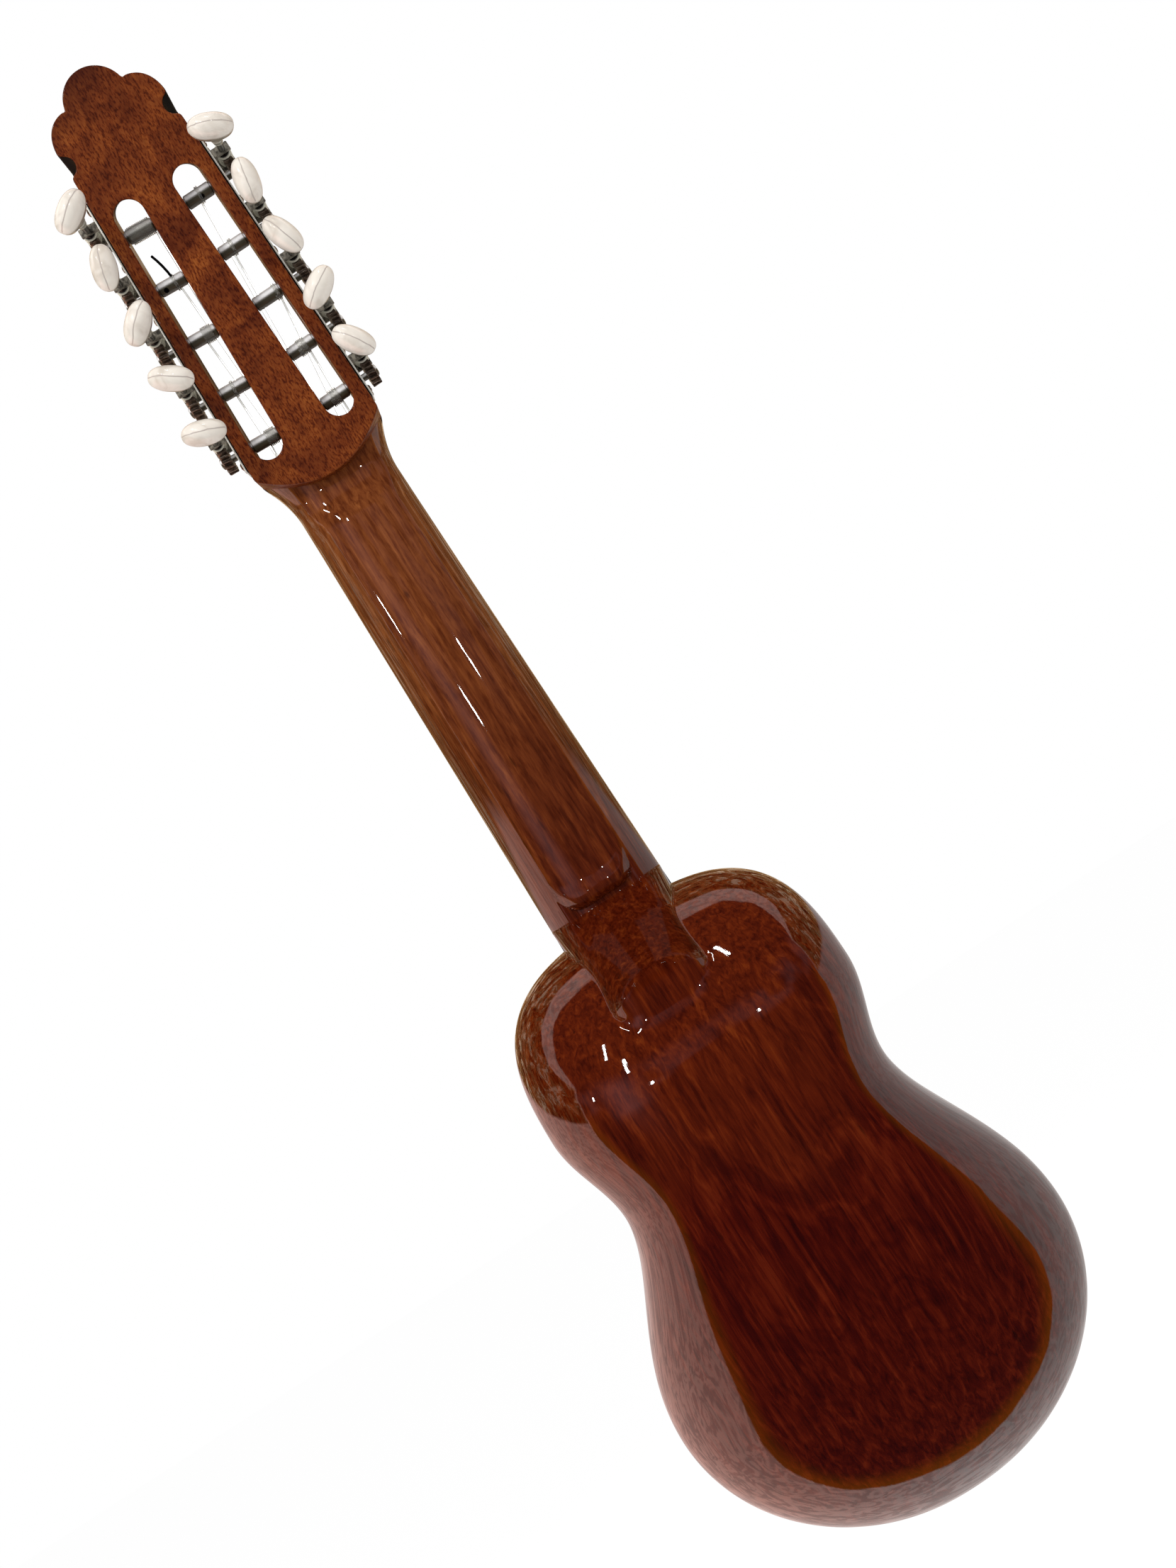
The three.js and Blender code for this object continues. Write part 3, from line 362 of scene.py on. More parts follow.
def noiseNode(tree, place, scale, detail, roughness=0.5, distortion=0.0):
    return addNode(tree, "ShaderNodeTexNoise", {
        "Vector": place, "Scale": scale, "Detail": detail, "Roughness": roughness, "Distortion": distortion,
    }).outputs["Fac"]


# Noise on object coordinates, stretched so that its grain runs along Z.
def grainNoise(tree, scale, detail=4.0, roughness=0.55, distortion=0.0):
    mapping = addNode(tree, "ShaderNodeMapping", {"Vector": objectPlace(tree), "Scale": scale})
    return noiseNode(tree, mapping.outputs["Vector"], 1.0, detail, roughness, distortion)


def bumpNode(tree, strength, distance, height):
    inputs = {"Strength": strength, "Distance": distance, "Height": height}
    return addNode(tree, "ShaderNodeBump", inputs).outputs["Normal"]


# Wood cut across its growth layers: a layer's number is its depth, tilted a little along Z
# and bent by a wide noise, so that flat places show long flames and steep ones close lines.
def growthLayers(tree, perMillimetre, bend, detail=3.0):
    _, y, z = partsOf(tree, objectPlace(tree))
    wide = grainNoise(tree, (26, 26, 11), 3, 0.55, 0.6)
    depth = multiplyAdd(tree, wide, bend, multiplyAdd(tree, z, 0.10, y))
    inputs = {
        "W": multiply(tree, depth, 1000 * perMillimetre), "Scale": 1.0, "Detail": detail, "Roughness": 0.55,
    }
    return addNode(tree, "ShaderNodeTexNoise", inputs, noise_dimensions="1D").outputs["Fac"]


# Body and neck wood: growth layers and fine fibres along the grain with a few dark pores. Its
# colour goes from the neck's brown to the body's deep red, and its clear lacquer is duller where
# the mesh says so.
def makeLacquerWood():
    material, tree = newMaterial("lacquered_hardwood")
    layers = growthLayers(tree, 0.26, 0.05, 2.0)
    fibres = grainNoise(tree, (420, 420, 26), 5, 0.62, 1.0)
    wide = grainNoise(tree, (17, 17, 7), 3, 0.5, 1.4)
    fleck = grainNoise(tree, (760, 760, 110), 3, 0.55)
    pores = grainNoise(tree, (260, 260, 55), 2, 0.5)
    both = multiplyAdd(tree, fibres, 0.76, multiply(tree, layers, 0.24))
    bodyTone = ramp(tree, both, [(0.36, "#2a0201"), (0.48, "#390601"), (0.57, "#470d02"), (0.70, "#5a1a06")])
    upperTone = ramp(tree, both, [(0.36, "#3a0b01"), (0.48, "#4c1503"), (0.57, "#5a1d05"), (0.70, "#6d2c0a")])
    z = partsOf(tree, objectPlace(tree))["Z"]
    low = rangeNode(tree, multiplyAdd(tree, wide, 0.12, z), -0.17, -0.25)
    bodyTone = mixColour(tree, low, upperTone, bodyTone)
    clouds = ramp(tree, wide, [(0.54, "#000000"), (0.74, "#505050")])
    bodyTone = mixColour(tree, clouds, bodyTone, linear("#5e1f07"))
    neckTone = ramp(tree, both, [(0.35, "#54260f"), (0.5, "#6a3618"), (0.62, "#7a4320"), (0.75, "#92582b")])
    heelTone = ramp(tree, both, [(0.35, "#360c03"), (0.5, "#481405"), (0.62, "#5a2109"), (0.75, "#703211")])
    neckTone = mixColour(tree, rangeNode(tree, z, -0.05, -0.20), neckTone, heelTone)
    share = attributeNode(tree, "bowlShare")
    tone = mixColour(tree, share, neckTone, bodyTone)
    flecks = mixColour(tree, share, ramp(tree, fleck, [(0.36, "#bda28f"), (0.52, "#ffffff")]),
                       ramp(tree, fleck, [(0.33, "#c4a694"), (0.45, "#ffffff")]))
    tone = mixColour(tree, 0.7, tone, flecks, "MULTIPLY")
    tone = mixColour(tree, 0.45, tone, ramp(tree, pores, [(0.25, "#2a1410"), (0.31, "#ffffff")]), "MULTIPLY")
    return finished(material, {
        "Base Color": tone, "Roughness": 0.6, "Specular IOR Level": 0.0,
        "Coat Roughness": 0.02, "Coat IOR": 1.5,
        "Coat Normal": bumpNode(tree, 0.12, 0.00005, fleck),
        "Coat Weight": multiplyAdd(tree, attributeNode(tree, "dull"), -0.92, 1.0),
    })


# Head wood: the same layers and short dense flecks under a thin satin finish, darker at the crown.
def makeHeadWood():
    material, tree = newMaterial("satin_hardwood")
    layers = growthLayers(tree, 0.22, 0.03)
    flame = grainNoise(tree, (70, 70, 24), 4, 0.6, 1.6)
    fleck = grainNoise(tree, (1500, 1500, 420), 3, 0.6)
    dash = grainNoise(tree, (420, 420, 120), 2, 0.5)
    both = multiplyAdd(tree, flame, 0.6, multiply(tree, layers, 0.4))
    tone = ramp(tree, both, [(0.33, "#54230c"), (0.47, "#6a3213"), (0.58, "#7a3e18"), (0.72, "#905021")])
    flecks = ramp(tree, fleck, [(0.38, "#96694a"), (0.5, "#f0dccb"), (0.6, "#ffffff")])
    tone = mixColour(tree, 0.9, tone, flecks, "MULTIPLY")
    tone = mixColour(tree, 0.25, tone, ramp(tree, dash, [(0.3, "#7a4c30"), (0.42, "#ffffff")]), "MULTIPLY")
    x, _, z = partsOf(tree, objectPlace(tree))
    crown = rangeNode(tree, multiplyAdd(tree, x, 0.35, z), 0.166, 0.184, 0.0, 0.85)
    return finished(material, {
        "Base Color": mixColour(tree, crown, tone, linear("#2c0a05")),
        "Roughness": 0.5, "Specular IOR Level": 0.05,
        "Coat Weight": 0.3, "Coat Roughness": 0.1, "Normal": bumpNode(tree, 0.1, 0.0003, fleck),
    })


# Spruce: growth rings as bent waves across X under a silky grain.
def makeSpruce():
    material, tree = newMaterial("spruce_top")
    rings = addNode(tree, "ShaderNodeTexWave", {
        "Vector": objectPlace(tree), "Scale": 260.0, "Distortion": 1.2, "Detail": 2.0, "Detail Scale": 0.4,
    }, bands_direction="X")
    tone = ramp(tree, rings.outputs["Fac"], [(0.0, "#c99a5c"), (0.5, "#ddb67c"), (1.0, "#e4c08a")])
    silk = grainNoise(tree, (60, 60, 300), 3, 0.6)
    tone = mixColour(tree, 0.2, tone, ramp(tree, silk, [(0.3, "#c2a070"), (0.7, "#ffffff")]), "MULTIPLY")
    return finished(material, {
        "Base Color": tone, "Roughness": 0.4, "Coat Weight": 0.8, "Coat Roughness": 0.08,
    })


# Pearl: pale cream plastic with wide soft clouds, one fine line along the crown and painted
# shade that greys it below its widest edge, where the mesh says so.
def makePearl():
    material, tree = newMaterial("veined_pearl")
    cloud = noiseNode(tree, objectPlace(tree), 95.0, 3.0, 0.5, 1.2)
    tone = ramp(tree, cloud, [(0.32, "#d2c8bb"), (0.46, "#e5ddd2"), (0.58, "#ebe4d9"), (0.75, "#e2dace")])
    # Painted shade: greyer below the widest edge, where the mesh marks it.
    tone = mixColour(tree, attributeNode(tree, "under"), tone, linear("#a09686"))
    line = mathNode(tree, "ADD", attributeNode(tree, "across"), multiplyAdd(tree, cloud, 0.3, -0.12))
    line = stepNode(tree, mathNode(tree, "ABSOLUTE", line), 0.075, 0.01)
    tone = mixColour(tree, line, tone, linear("#b3a8a0"))
    return finished(material, {
        "Base Color": tone, "Roughness": 0.3, "Coat Weight": 0.5, "Coat Roughness": 0.1,
    })


# Metal with spots of a second tone, rougher where its noise is high.
def makeMetal(name, tone, roughness, spots, metallic=1.0):
    material, tree = newMaterial(name)
    wearAndPaintedLight = grainNoise(tree, (700, 700, 700), 4, 0.6)
    return finished(material, {
        "Base Color": ramp(tree, wearAndPaintedLight, [(0.35, spots), (0.6, tone)]), "Metallic": metallic,
        "Roughness": rangeNode(tree, wearAndPaintedLight, 0.0, 1.0, roughness, roughness * 1.9),
    })


# Metal in a dull dark tone with painted light: bright where the mesh marks a lit side or highlight.
def makeMetalWithPaintedLight(name, dull, litTone, roughness, metallic):
    material, tree = newMaterial(name)
    grime = grainNoise(tree, (900, 900, 900), 3, 0.6)
    wearAndPaintedLight = multiply(tree, attributeNode(tree, "wearAndPaintedLight"), multiplyAdd(tree, grime, 0.5, 0.72))
    tone = mixColour(tree, wearAndPaintedLight, linear(dull), linear(litTone))
    return finished(material, {"Base Color": tone, "Metallic": metallic, "Roughness": roughness})


# Two tones that change over a noise, with a bump of the same noise where one is asked for.
def makeMottled(name, grain, dark, light, inputs, bump=()):
    material, tree = newMaterial(name)
    mottle = grainNoise(tree, *grain)
    if bump:
        inputs = {**inputs, "Normal": bumpNode(tree, *bump, mottle)}
    return finished(material, {"Base Color": ramp(tree, mottle, [(0.3, dark), (0.7, light)]), **inputs})


fibreGrain, fineGrain, softGrain = (
    ((420, 420, 26), 4, 0.6), ((300, 300, 300), 3, 0.5), ((300, 300, 300), 2, 0.5),
)
woodFinish, woodBump = {"Roughness": 0.42, "Specular IOR Level": 0.25}, (0.15, 0.0002)
lineFinish = {"Roughness": 0.6, "Specular IOR Level": 0.05}
clearFinish = {"Roughness": 0.08, "IOR": 1.3, "Transmission Weight": 0.9}
lacquerWood = makeLacquerWood()
headWood = makeHeadWood()
spruce = makeSpruce()
pearl = makePearl()
ebony = makeMottled("ebony", fibreGrain, "#070504", "#17100d", woodFinish, woodBump)
rosewood = makeMottled("rosewood", fibreGrain, "#24130c", "#4a2a1c", woodFinish, woodBump)
bone = makeMottled("bone", fineGrain, "#e4d9bd", "#efe7d2", {"Roughness": 0.35})
blackLine = makeMottled("black_line", fineGrain, "#040303", "#080706", lineFinish)
nylon = makeMottled("clear_nylon", softGrain, "#e6e4dd", "#f4f3ee", clearFinish)
nickel = makeMetal("nickel", "#c9c4bc", 0.16, "#a39d94")
darkNickel = makeMetal("dark_nickel", "#8d8377", 0.28, "#5b5147")
# Painted highlight: the strip's pale nickel is made near-white and almost matt in place of its bright
# reflections.
stripMetal = makeMetal("nickel_painted_highlight", "#fbfaf2", 0.2, "#e2dfd2", 0.05)
tabMetal = makeMetal("tab_nickel", "#8f8a7c", 0.25, "#2c2923", 0.3)
# Painted light: rollers and worm threads are dark, and bright where the mesh marks a lit side or highlight.
rollerMetal = makeMetalWithPaintedLight("roller_metal", "#4a4536", "#ffffff", 0.24, 0.05)
threadMetal = makeMetalWithPaintedLight("thread_metal", "#080706", "#e2dfce", 0.22, 0.08)
print("materials made")


# Body

# Where the duller coat of the heel's scoop fades in and out: along Z, and across from the middle.
dullSpan = {"top": (-194, -197), "foot": (-231, -227), "side": (17, 21), "depth": 8}


# Half width: a squarish ellipse over the shoulders, half a cosine wave to the waist, another to
# the lower bout, and an ellipse round the tail.
def bodyHalfWidth(z):
    s = body
    drop = s["shouldersZ"] - np.asarray(z, dtype=float)
    top = np.clip(1 - drop / s["upperBout"], 0, 1)
    shoulder = s["upperHalf"] * (1 - top ** s["shoulderPower"]) ** (1 / s["shoulderPower"])
    share = (drop - s["upperBout"]) / (s["waist"] - s["upperBout"])
    toWaist = blend(s["upperHalf"], s["waistHalf"], cosineStep(share))
    share = np.clip((drop - s["waist"]) / (s["lowerBout"] - s["waist"]), 0, 1) ** s["waistSharpness"]
    toBout = blend(s["waistHalf"], s["lowerHalf"], cosineStep(share))
    share = np.clip((drop - s["lowerBout"]) / (s["length"] - s["lowerBout"]), 0, 1)
    tail = s["lowerHalf"] * np.sqrt(1 - share ** 2)
    spans = [drop <= 0, drop < s["upperBout"], drop < s["waist"], drop < s["lowerBout"]]
    return np.select(spans, [0.0, shoulder, toWaist, toBout], tail)


# Depth: a superellipse over each end, and a little less of it at the shoulders.
def bodyDepth(z):
    s = body
    drop = s["shouldersZ"] - np.asarray(z, dtype=float)
    rise = np.clip(1 - drop / s["shoulderRise"], 0, 1)
    fall = np.clip(1 - (s["length"] - drop) / s["tailFall"], 0, 1)
    headEnd = (1 - rise ** s["headEndPower"]) ** (1 / s["headEndPower"])
    tailEnd = (1 - fall ** s["tailEndPower"]) ** (1 / s["tailEndPower"])
    reached = -smoothMax(-np.maximum(drop, 0) / (s["length"] - s["tailFall"]), -1.0, 0.4)
    return s["depth"] * blend(s["upperDepth"], 1.0, reached) * headEnd * tailEnd


# How square a section is: flatter over the shoulders, rounder at the lower bout.
def bodyPower(z):
    drop = body["shouldersZ"] - np.asarray(z, dtype=float)
    share = (drop - body["waist"]) / (body["lowerBout"] - body["waist"])
    return blend(body["upperPower"], body["lowerPower"], cosineStep(share))


# The radius of a superellipse in the direction of an angle:
# ((cos a / half) ** power + (sin a / depth) ** power) ** (-1 / power).
def superRadius(angle, half, depth, power):
    across = np.abs(np.cos(angle)) / np.maximum(half, 1e-6)
    out = np.abs(np.sin(angle)) / np.maximum(depth, 1e-6)
    return (across ** power + out ** power) ** (-1 / power)


# The neck's radius. Width and depth come from the height: a narrowing throat under the head, a
# grip that gets slowly deeper, a pad whose end bulges and then drops by an ellipse to the heel's
# step, and a scoop that rises to the ridge on the body. Over the heel they also come from how
# far across the point lies, so the radius is found by a few rounds of the same sum.
def neckRadius(z, angle):
    s = neck
    half = blend(s["nutHalf"], s["bodyHalf"], np.clip(z / body["topZ"], 0, 1))
    half = half + (s["cornerHalf"] - s["nutHalf"]) * np.clip(z / s["cornerZ"], 0, 1) ** 2
    throat = cosineStep(-z / s["throatLength"])
    grip = np.clip((z + s["throatLength"]) / (s["stepZ"] + s["throatLength"]), 0, 1)
    depth = blend(s["throatDepth"], s["nutDepth"], throat) + (s["heelDepth"] - s["nutDepth"]) * grip
    depth = depth + np.maximum(z - head["foot"], 0) * math.tan(head["tilt"])
    power = blend(s["throatPower"], s["power"], throat)
    radius = superRadius(angle, half, depth, power)
    scoopZ, floor = s["stepZ"] - s["stepLength"], s["heelDepth"] - s["stepDrop"]
    for _ in range(4):
        x = np.abs(radius * np.cos(angle))
        pad = 1 - smoothStep(s["padInner"], s["padOuter"], x)
        scoopLength = s["scoopLength"] + s["ridgeBow"] * (x / s["topHalf"]) ** 2
        share = np.clip((scoopZ - z) / scoopLength, 0, 1.4)
        raised = floor + (s["ridgeDepth"] - floor) * share ** s["scoopCurve"]
        raised = -smoothMax(-raised, -s["ridgeDepth"], s["ridgeSoftness"])
        raised = raised + s["stepDrop"] * (1 - pad) * (1 - np.minimum(share * 2.5, 1))
        end = s["stepEnd"] + s["padCorner"] * np.minimum(x / 15.0, 1.2) ** 5
        along = np.clip((end + s["stepRound"] - z) / s["stepRound"], 0, 1)
        fall = np.where(along < 1, 1 - np.sqrt(1 - (0.97 * along) ** 2), 1.0)
        bulge = s["stepBulge"] * smoothStep(end + s["bulgeStart"], end + s["bulgeTop"], z)
        stepped = depth + (bulge - (bulge + s["stepDrop"]) * fall) * pad
        onRidge = np.minimum(share, 1)
        wide = np.where(z < scoopZ, blend(s["bodyHalf"], s["topHalf"], onRidge), half)
        squareness = np.where(z < scoopZ, blend(s["power"], s["ridgePower"], onRidge), power)
        radius = superRadius(angle, wide, np.where(z < scoopZ, raised, stepped), squareness)
    return radius


# Heights of the sections, closer together where the form changes fast, and closest at the tail.
def bodyStations():
    tail = body["shouldersZ"] - body["length"]
    return np.concatenate([
        np.linspace(22.5, 0, 22), np.linspace(-0.7, -14, 20), np.linspace(-16.5, -174, 54),
        np.linspace(-175, -198, 90), np.linspace(-198.4, -203, 9), np.linspace(-203.25, -212, 40),
        np.linspace(-212.4, -252, 90), np.linspace(-253.5, -400, 90),
        tail + (-402 - tail) * np.linspace(1, 0, 60)[:-1] ** 2,
    ])


# Body and neck in one skin: the larger of the bowl's and the neck's radius, softly joined, and
# closed by a flat face in front of the neck. It says where the body's wood begins, and where
# the heel's scoop has a duller coat.
def makeBodyAndNeck():
    stations = bodyStations()
    z = stations[:, None]
    half = np.maximum(bodyHalfWidth(z), neck["bodyHalf"] * (z > neck["rimEnd"]))
    start = np.arctan2(np.where(z < body["topZ"], body["rim"], 0.0), half)
    angle = start + (math.pi - 2 * start) * np.linspace(0, 1, 161)
    bowl = superRadius(angle, bodyHalfWidth(z), bodyDepth(z), bodyPower(z))
    bowl = np.where((z < body["shouldersZ"]) & (bodyHalfWidth(z) > 0.5), bowl, 0)
    handle = np.where(z > neck["end"], neckRadius(z, angle), 0)
    both = smoothMax(bowl, handle, np.where(z < neck["softZ"], neck["ridgeSoftness"], 1.0))
    radius = np.where((bowl > 0) & (handle > 0), both, np.maximum(bowl, handle))
    x, y = radius * np.cos(angle), radius * np.sin(angle)
    rows, columns = angle.shape
    faces = gridFaces(rows, columns)
    for i in np.nonzero(stations >= body["topZ"])[0][:-1]:
        faces.append([i * columns, (i + 1) * columns, (i + 2) * columns - 1, (i + 1) * columns - 1])
    obj = makeMesh("body_and_neck", pointsFrom(x, y, z).reshape(-1, 3), faces, lacquerWood, "body_lacquer",
                   replaced=("bowl", "neck_with_head"))
    bowed = z + neck["seamBow"] * (x / neck["topHalf"]) ** 2
    seam = smoothStep(neck["seamZ"], neck["seamZ"] - neck["seamWidth"], bowed)
    setValues(obj, "bowlShare", np.maximum(smoothStep(-0.25, 0.35, bowl - handle), seam))
    along = smoothStep(*dullSpan["top"], z) * smoothStep(*dullSpan["foot"], z)
    across = 1 - smoothStep(*dullSpan["side"], np.abs(x))
    setValues(obj, "dull", along * across * (y > dullSpan["depth"]))


# The hollow, seen through the soundhole: the body's own section less the wall, closed at both
# ends by a high power.
def makeBowlInside():
    z = np.linspace(-252.5, -453, 90)[:, None]
    close = np.maximum(0, 1 - np.abs((z - body["hollowZ"]) / body["hollowReach"]) ** 5) ** 0.2
    angle = math.pi * np.linspace(0, 1, 61)[None, :]
    half, depth = (bodyHalfWidth(z) - body["wall"]) * close, (bodyDepth(z) - body["wall"]) * close
    radius = superRadius(angle, half, depth, bodyPower(z))
    points = pointsFrom(radius * np.cos(angle), body["rim"] + 0.4 + radius * np.sin(angle), z)
    makeMesh("bowl_inside", points.reshape(-1, 3), gridFaces(*radius.shape), rosewood, None)


makeBodyAndNeck()
makeBowlInside()
print("body and neck made")


# Head

softening = {"step": 0.5, "rounds": 6, "parts": 7, "middleUp": 150.0, "fromUp": 161.0}


# One half of the crown from the head's edge to the middle lobe, mirrored by its caller: a round
# notch, a cubic curve up to the junction, and an arc that is the middle lobe.
def crownHalf(notched):
    edge, junction = head["notchHalf"], (head["junctionHalf"], head["junctionUp"])
    low, high = head["notchUp"] - head["notchRadius"], head["notchUp"] + head["notchRadius"]
    rise, run = (junction[1] - high) * 0.6, (edge - junction[0]) * 0.6
    parts = [np.array([[edge, low]])]
    if notched:
        parts.append(arc(edge, head["notchUp"], head["notchRadius"], -math.pi / 2, -3 * math.pi / 2, 25)[1:])
    parts.append(bezier((edge, high), (edge, high + rise), (junction[0] + run, junction[1]), junction, 24))
    lobeRise = head["crownUp"] - junction[1]
    radius = (junction[0] ** 2 + lobeRise ** 2) / (2 * lobeRise)
    first = math.atan2(lobeRise - radius, junction[0])
    parts.append(arc(0, head["crownUp"] - radius, radius, first, math.pi / 2, 32)[1:])
    return np.concatenate(parts)


# The head's outline: its foot is a parabola at the back, and two quadratic curves down to the
# nut on the front plate.
def headLoop(notched):
    right = crownHalf(notched)
    if notched:
        t = np.linspace(-1, 1, 49)
        foot = np.stack([t * head["cornerHalf"], blend(head["arcUp"], head["cornerUp"], t * t)], -1)
    else:
        u, half = np.linspace(0, 1, 16)[:, None], neck["nutHalf"]
        side = (1 - u) ** 2 * [half, 0.3] + 2 * u * (1 - u) * [half, head["cornerUp"] / 2]
        side = side + u * u * [head["cornerHalf"], head["cornerUp"]]
        foot = np.concatenate([(side * [-1, 1])[::-1], side])
    return np.concatenate([foot, right, (right[::-1] * [-1, 1])[1:]])


# A slot's outline: two half circles joined by straight lines along the head's edge.
def slotLoop(side):
    sign, half = signs[side], head["slotWidth"] / 2
    middle = -sign * (head["rail"] + half)
    low = head["slotFirstUp"] - head["cornerUp"] + half
    high = low + head["slotLength"] - head["slotWidth"]
    ends = [arc(middle, high, half, 0, math.pi, 24), arc(middle, low, half, math.pi, 2 * math.pi, 24)]
    x, y = turned(*np.concatenate(ends).T, sign * lean)
    return np.stack([x + sign * head["cornerHalf"], y + head["cornerUp"]], -1)


# A closed loop in even short steps with its corners averaged away. After the first part only
# moves away from the middle are kept, which fill the hollows between the crown's lobes a little.
def softened(loop):
    s = softening
    for part in range(s["parts"]):
        closed = np.vstack([loop, loop[:1]])
        length = np.concatenate([[0], np.cumsum(np.linalg.norm(np.diff(closed, axis=0), axis=1))])
        place = np.linspace(0, length[-1], int(length[-1] / s["step"]), endpoint=False)
        loop = np.stack([np.interp(place, length, closed[:, k]) for k in (0, 1)], -1)
        for _ in range(s["rounds"]):
            even = (np.roll(loop, 1, axis=0) + 2 * loop + np.roll(loop, -1, axis=0)) / 4
            outward = ((even - loop) * (loop - [0, s["middleUp"]])).sum(axis=1, keepdims=True) > 0
            loop = np.where((part == 0) | (outward & (loop[:, 1:] > s["fromUp"])), even, loop)
    return loop


# Slides everything between the slots' low ends and the notches up the straight edges, most at
# the slots' crown ends and at the front face.
def openToCrown(points, share):
    half = head["slotWidth"] / 2
    high = head["slotFirstUp"] - head["cornerUp"] + head["slotLength"] - half
    notch = edgeRise / math.cos(lean) - 0.5
    moved = np.array(points, dtype=float)
    for sign in signs.values():
        _, up = turned(points[:, 0] - sign * head["cornerHalf"], points[:, 1] - head["cornerUp"],
                       -sign * lean)
        reach = (np.interp(up, [20, high - 1, high + half + 1, notch], [0, 1, 1, 0])
                 * (points[:, 0] * sign > 0))
        aside, rise = turned(0.0, (head["slotMore"] + head["slotSlope"] * share) * reach, sign * lean)
        moved[:, 0] += aside
        moved[:, 1] += rise
    return moved


# The head with its slots and its front plate; the walls of the notches are black as painted shade.
def makeHead():
    slots = [slotLoop(side) for side in signs]
    thickness = head["thickness"]
    block = slab("head_block", [softened(headLoop(True)), *slots], thickness, 0.6, headWood,
                 lambda p: fromHead(openToCrown(p, p[:, 2] / thickness + 0.5) + [0, 0, -thickness / 2]),
                 ("neck_with_head",))
    # Painted shade: the notch walls take the black material.
    block.data.materials.append(blackLine)
    back = fromHead([0, 0, -1]) - fromHead([0, 0, 0])
    for face in block.data.polygons:
        x, up = face.center.x * 1000, (face.center.z * 1000 - head["foot"]) / math.cos(head["tilt"])
        notch = (abs(up - head["notchUp"] - 1.5) < 7.5
                 and abs(x) > head["notchHalf"] - head["notchRadius"] - 1.2)
        if notch and abs(float(np.dot(back, face.normal))) < 0.75 and face.area < 2e-5:
            face.material_index = 1
    slab("head_veneer", [softened(headLoop(False)), *slots], 1.5, 0.25, ebony,
         lambda p: fromHead(openToCrown(p, np.ones(len(p))) + [0, 0, 1.05]), ("head_plate",))


makeHead()
print("head made")


# Tuners

rollerSizes = {
    "radius": 2.75, "journal": 2.1, "spindle": 1.5, "insert": 4.4, "gap": 0.4, "chamfer": 0.35, "end": 8.75,
}
gearSizes = {
    "teeth": 14, "pitch": 4.8, "outer": 5.35, "root": 3.95, "width": 4.0, "crest": 0.45, "foot": 1.15,
    "chamfer": 0.25, "wormMiddle": 2.5,
}
wormSizes = {"outer": 3.05, "core": 1.75, "length": 9.0, "crest": 0.5, "foot": 1.15, "shaft": 1.4}
plateSizes = {
    "gap": 0.65, "strip": 0.75, "lug": 3.6, "thickness": 1.2, "width": 12.6, "low": 8.7, "high": 15.4,
    "tab": 6.4, "reach": 8.9, "tabOut": 4.8, "lowScrew": 5.6, "highScrew": 13.6, "screwOut": 3.6,
    "shadowMargin": 0.4,
}
buttonSizes = {"distance": 17.0, "height": 13.0, "half": 8.75, "thin": 4.9, "power": 2.25, "sides": 64}
windingSpans = {
    ("left", 1): (0.12, 0.92), ("left", 2): (0.56, 0.68), ("left", 3): (0.50, 0.86),
    ("left", 4): (0.42, 0.54), ("left", 5): (0.56, 0.90), ("right", 1): (0.40, 0.52),
    ("right", 2): (0.46, 0.58), ("right", 3): (0.10, 0.24), ("right", 4): (0.30, 0.62),
    ("right", 5): (0.34, 0.66),
}
stringHoles = {("right", 1): (0.42, 130), ("left", 2): (0.25, 130)}


# A piece drawn in its tuner's frame, which turns with that tuner's key or winder.
def makeTunerPiece(kind, side, number, points, faces, material, mover, slot, sharpAngle=None):
    return makeMesh(f"{kind}_{side}_{number}", fromTuner(points, side, number), faces, material, slot,
                    f"{mover}_{side}_{number}", sharpAngle=sharpAngle)


# A roller across its slot, painted bright on the side towards the crown as painted light, and a
# black plug for its string hole as painted shade.
def makeRoller(side, number):
    s, sign = rollerSizes, signs[side]
    outer, inner = -head["rail"] - s["gap"], -head["rail"] - head["slotWidth"] + s["gap"]
    insert, thin = inner - s["gap"] - s["insert"], s["radius"] - s["chamfer"]
    points, faces = turnedOnX([
        (insert, 0.2), (insert, s["journal"]), (inner, s["journal"]), (inner, thin),
        (inner + s["chamfer"], s["radius"]), (outer - s["chamfer"], s["radius"]), (outer, thin),
        (outer, s["journal"]), (0, s["journal"]), (0, s["spindle"]), (s["end"] - 0.8, s["spindle"]),
        (s["end"] - 0.8, 2.35), (s["end"] - 0.35, 2.3), (s["end"], 1.5), (s["end"], 0.1),
    ])
    roller = makeTunerPiece("roller", side, number, points * [sign, 1, 1], faces, rollerMetal, "winder",
                            "nickel", 40)
    # Painted light: the side towards the crown is bright and the side away from it dark.
    toCrown = points[:, 1] / np.maximum(np.hypot(points[:, 1], points[:, 2]), 0.1)
    setValues(roller, "wearAndPaintedLight", smoothStep(-0.25, 0.1, toCrown) * (1 - 0.55 * smoothStep(0.35, 0.7, toCrown)))
    if (side, number) in stringHoles:
        share, turn = stringHoles[(side, number)]
        bore = ((0.7, 1.0), (1.012, 1.0), (1.014, 0.1))
        points, faces = turnedOnX([(s["radius"] * reach, size) for reach, size in bore], 20)
        up, out = turned(points[:, 0], points[:, 2], math.radians(turn))
        points = pointsFrom(sign * (-head["rail"] - head["slotWidth"] * share) + points[:, 1], up, -out)
        # Painted shade: a black plug stands for the dark inside of the string hole.
        makeTunerPiece("string_hole_shade", side, number, points, faces, blackLine, "winder", "nickel", 40)


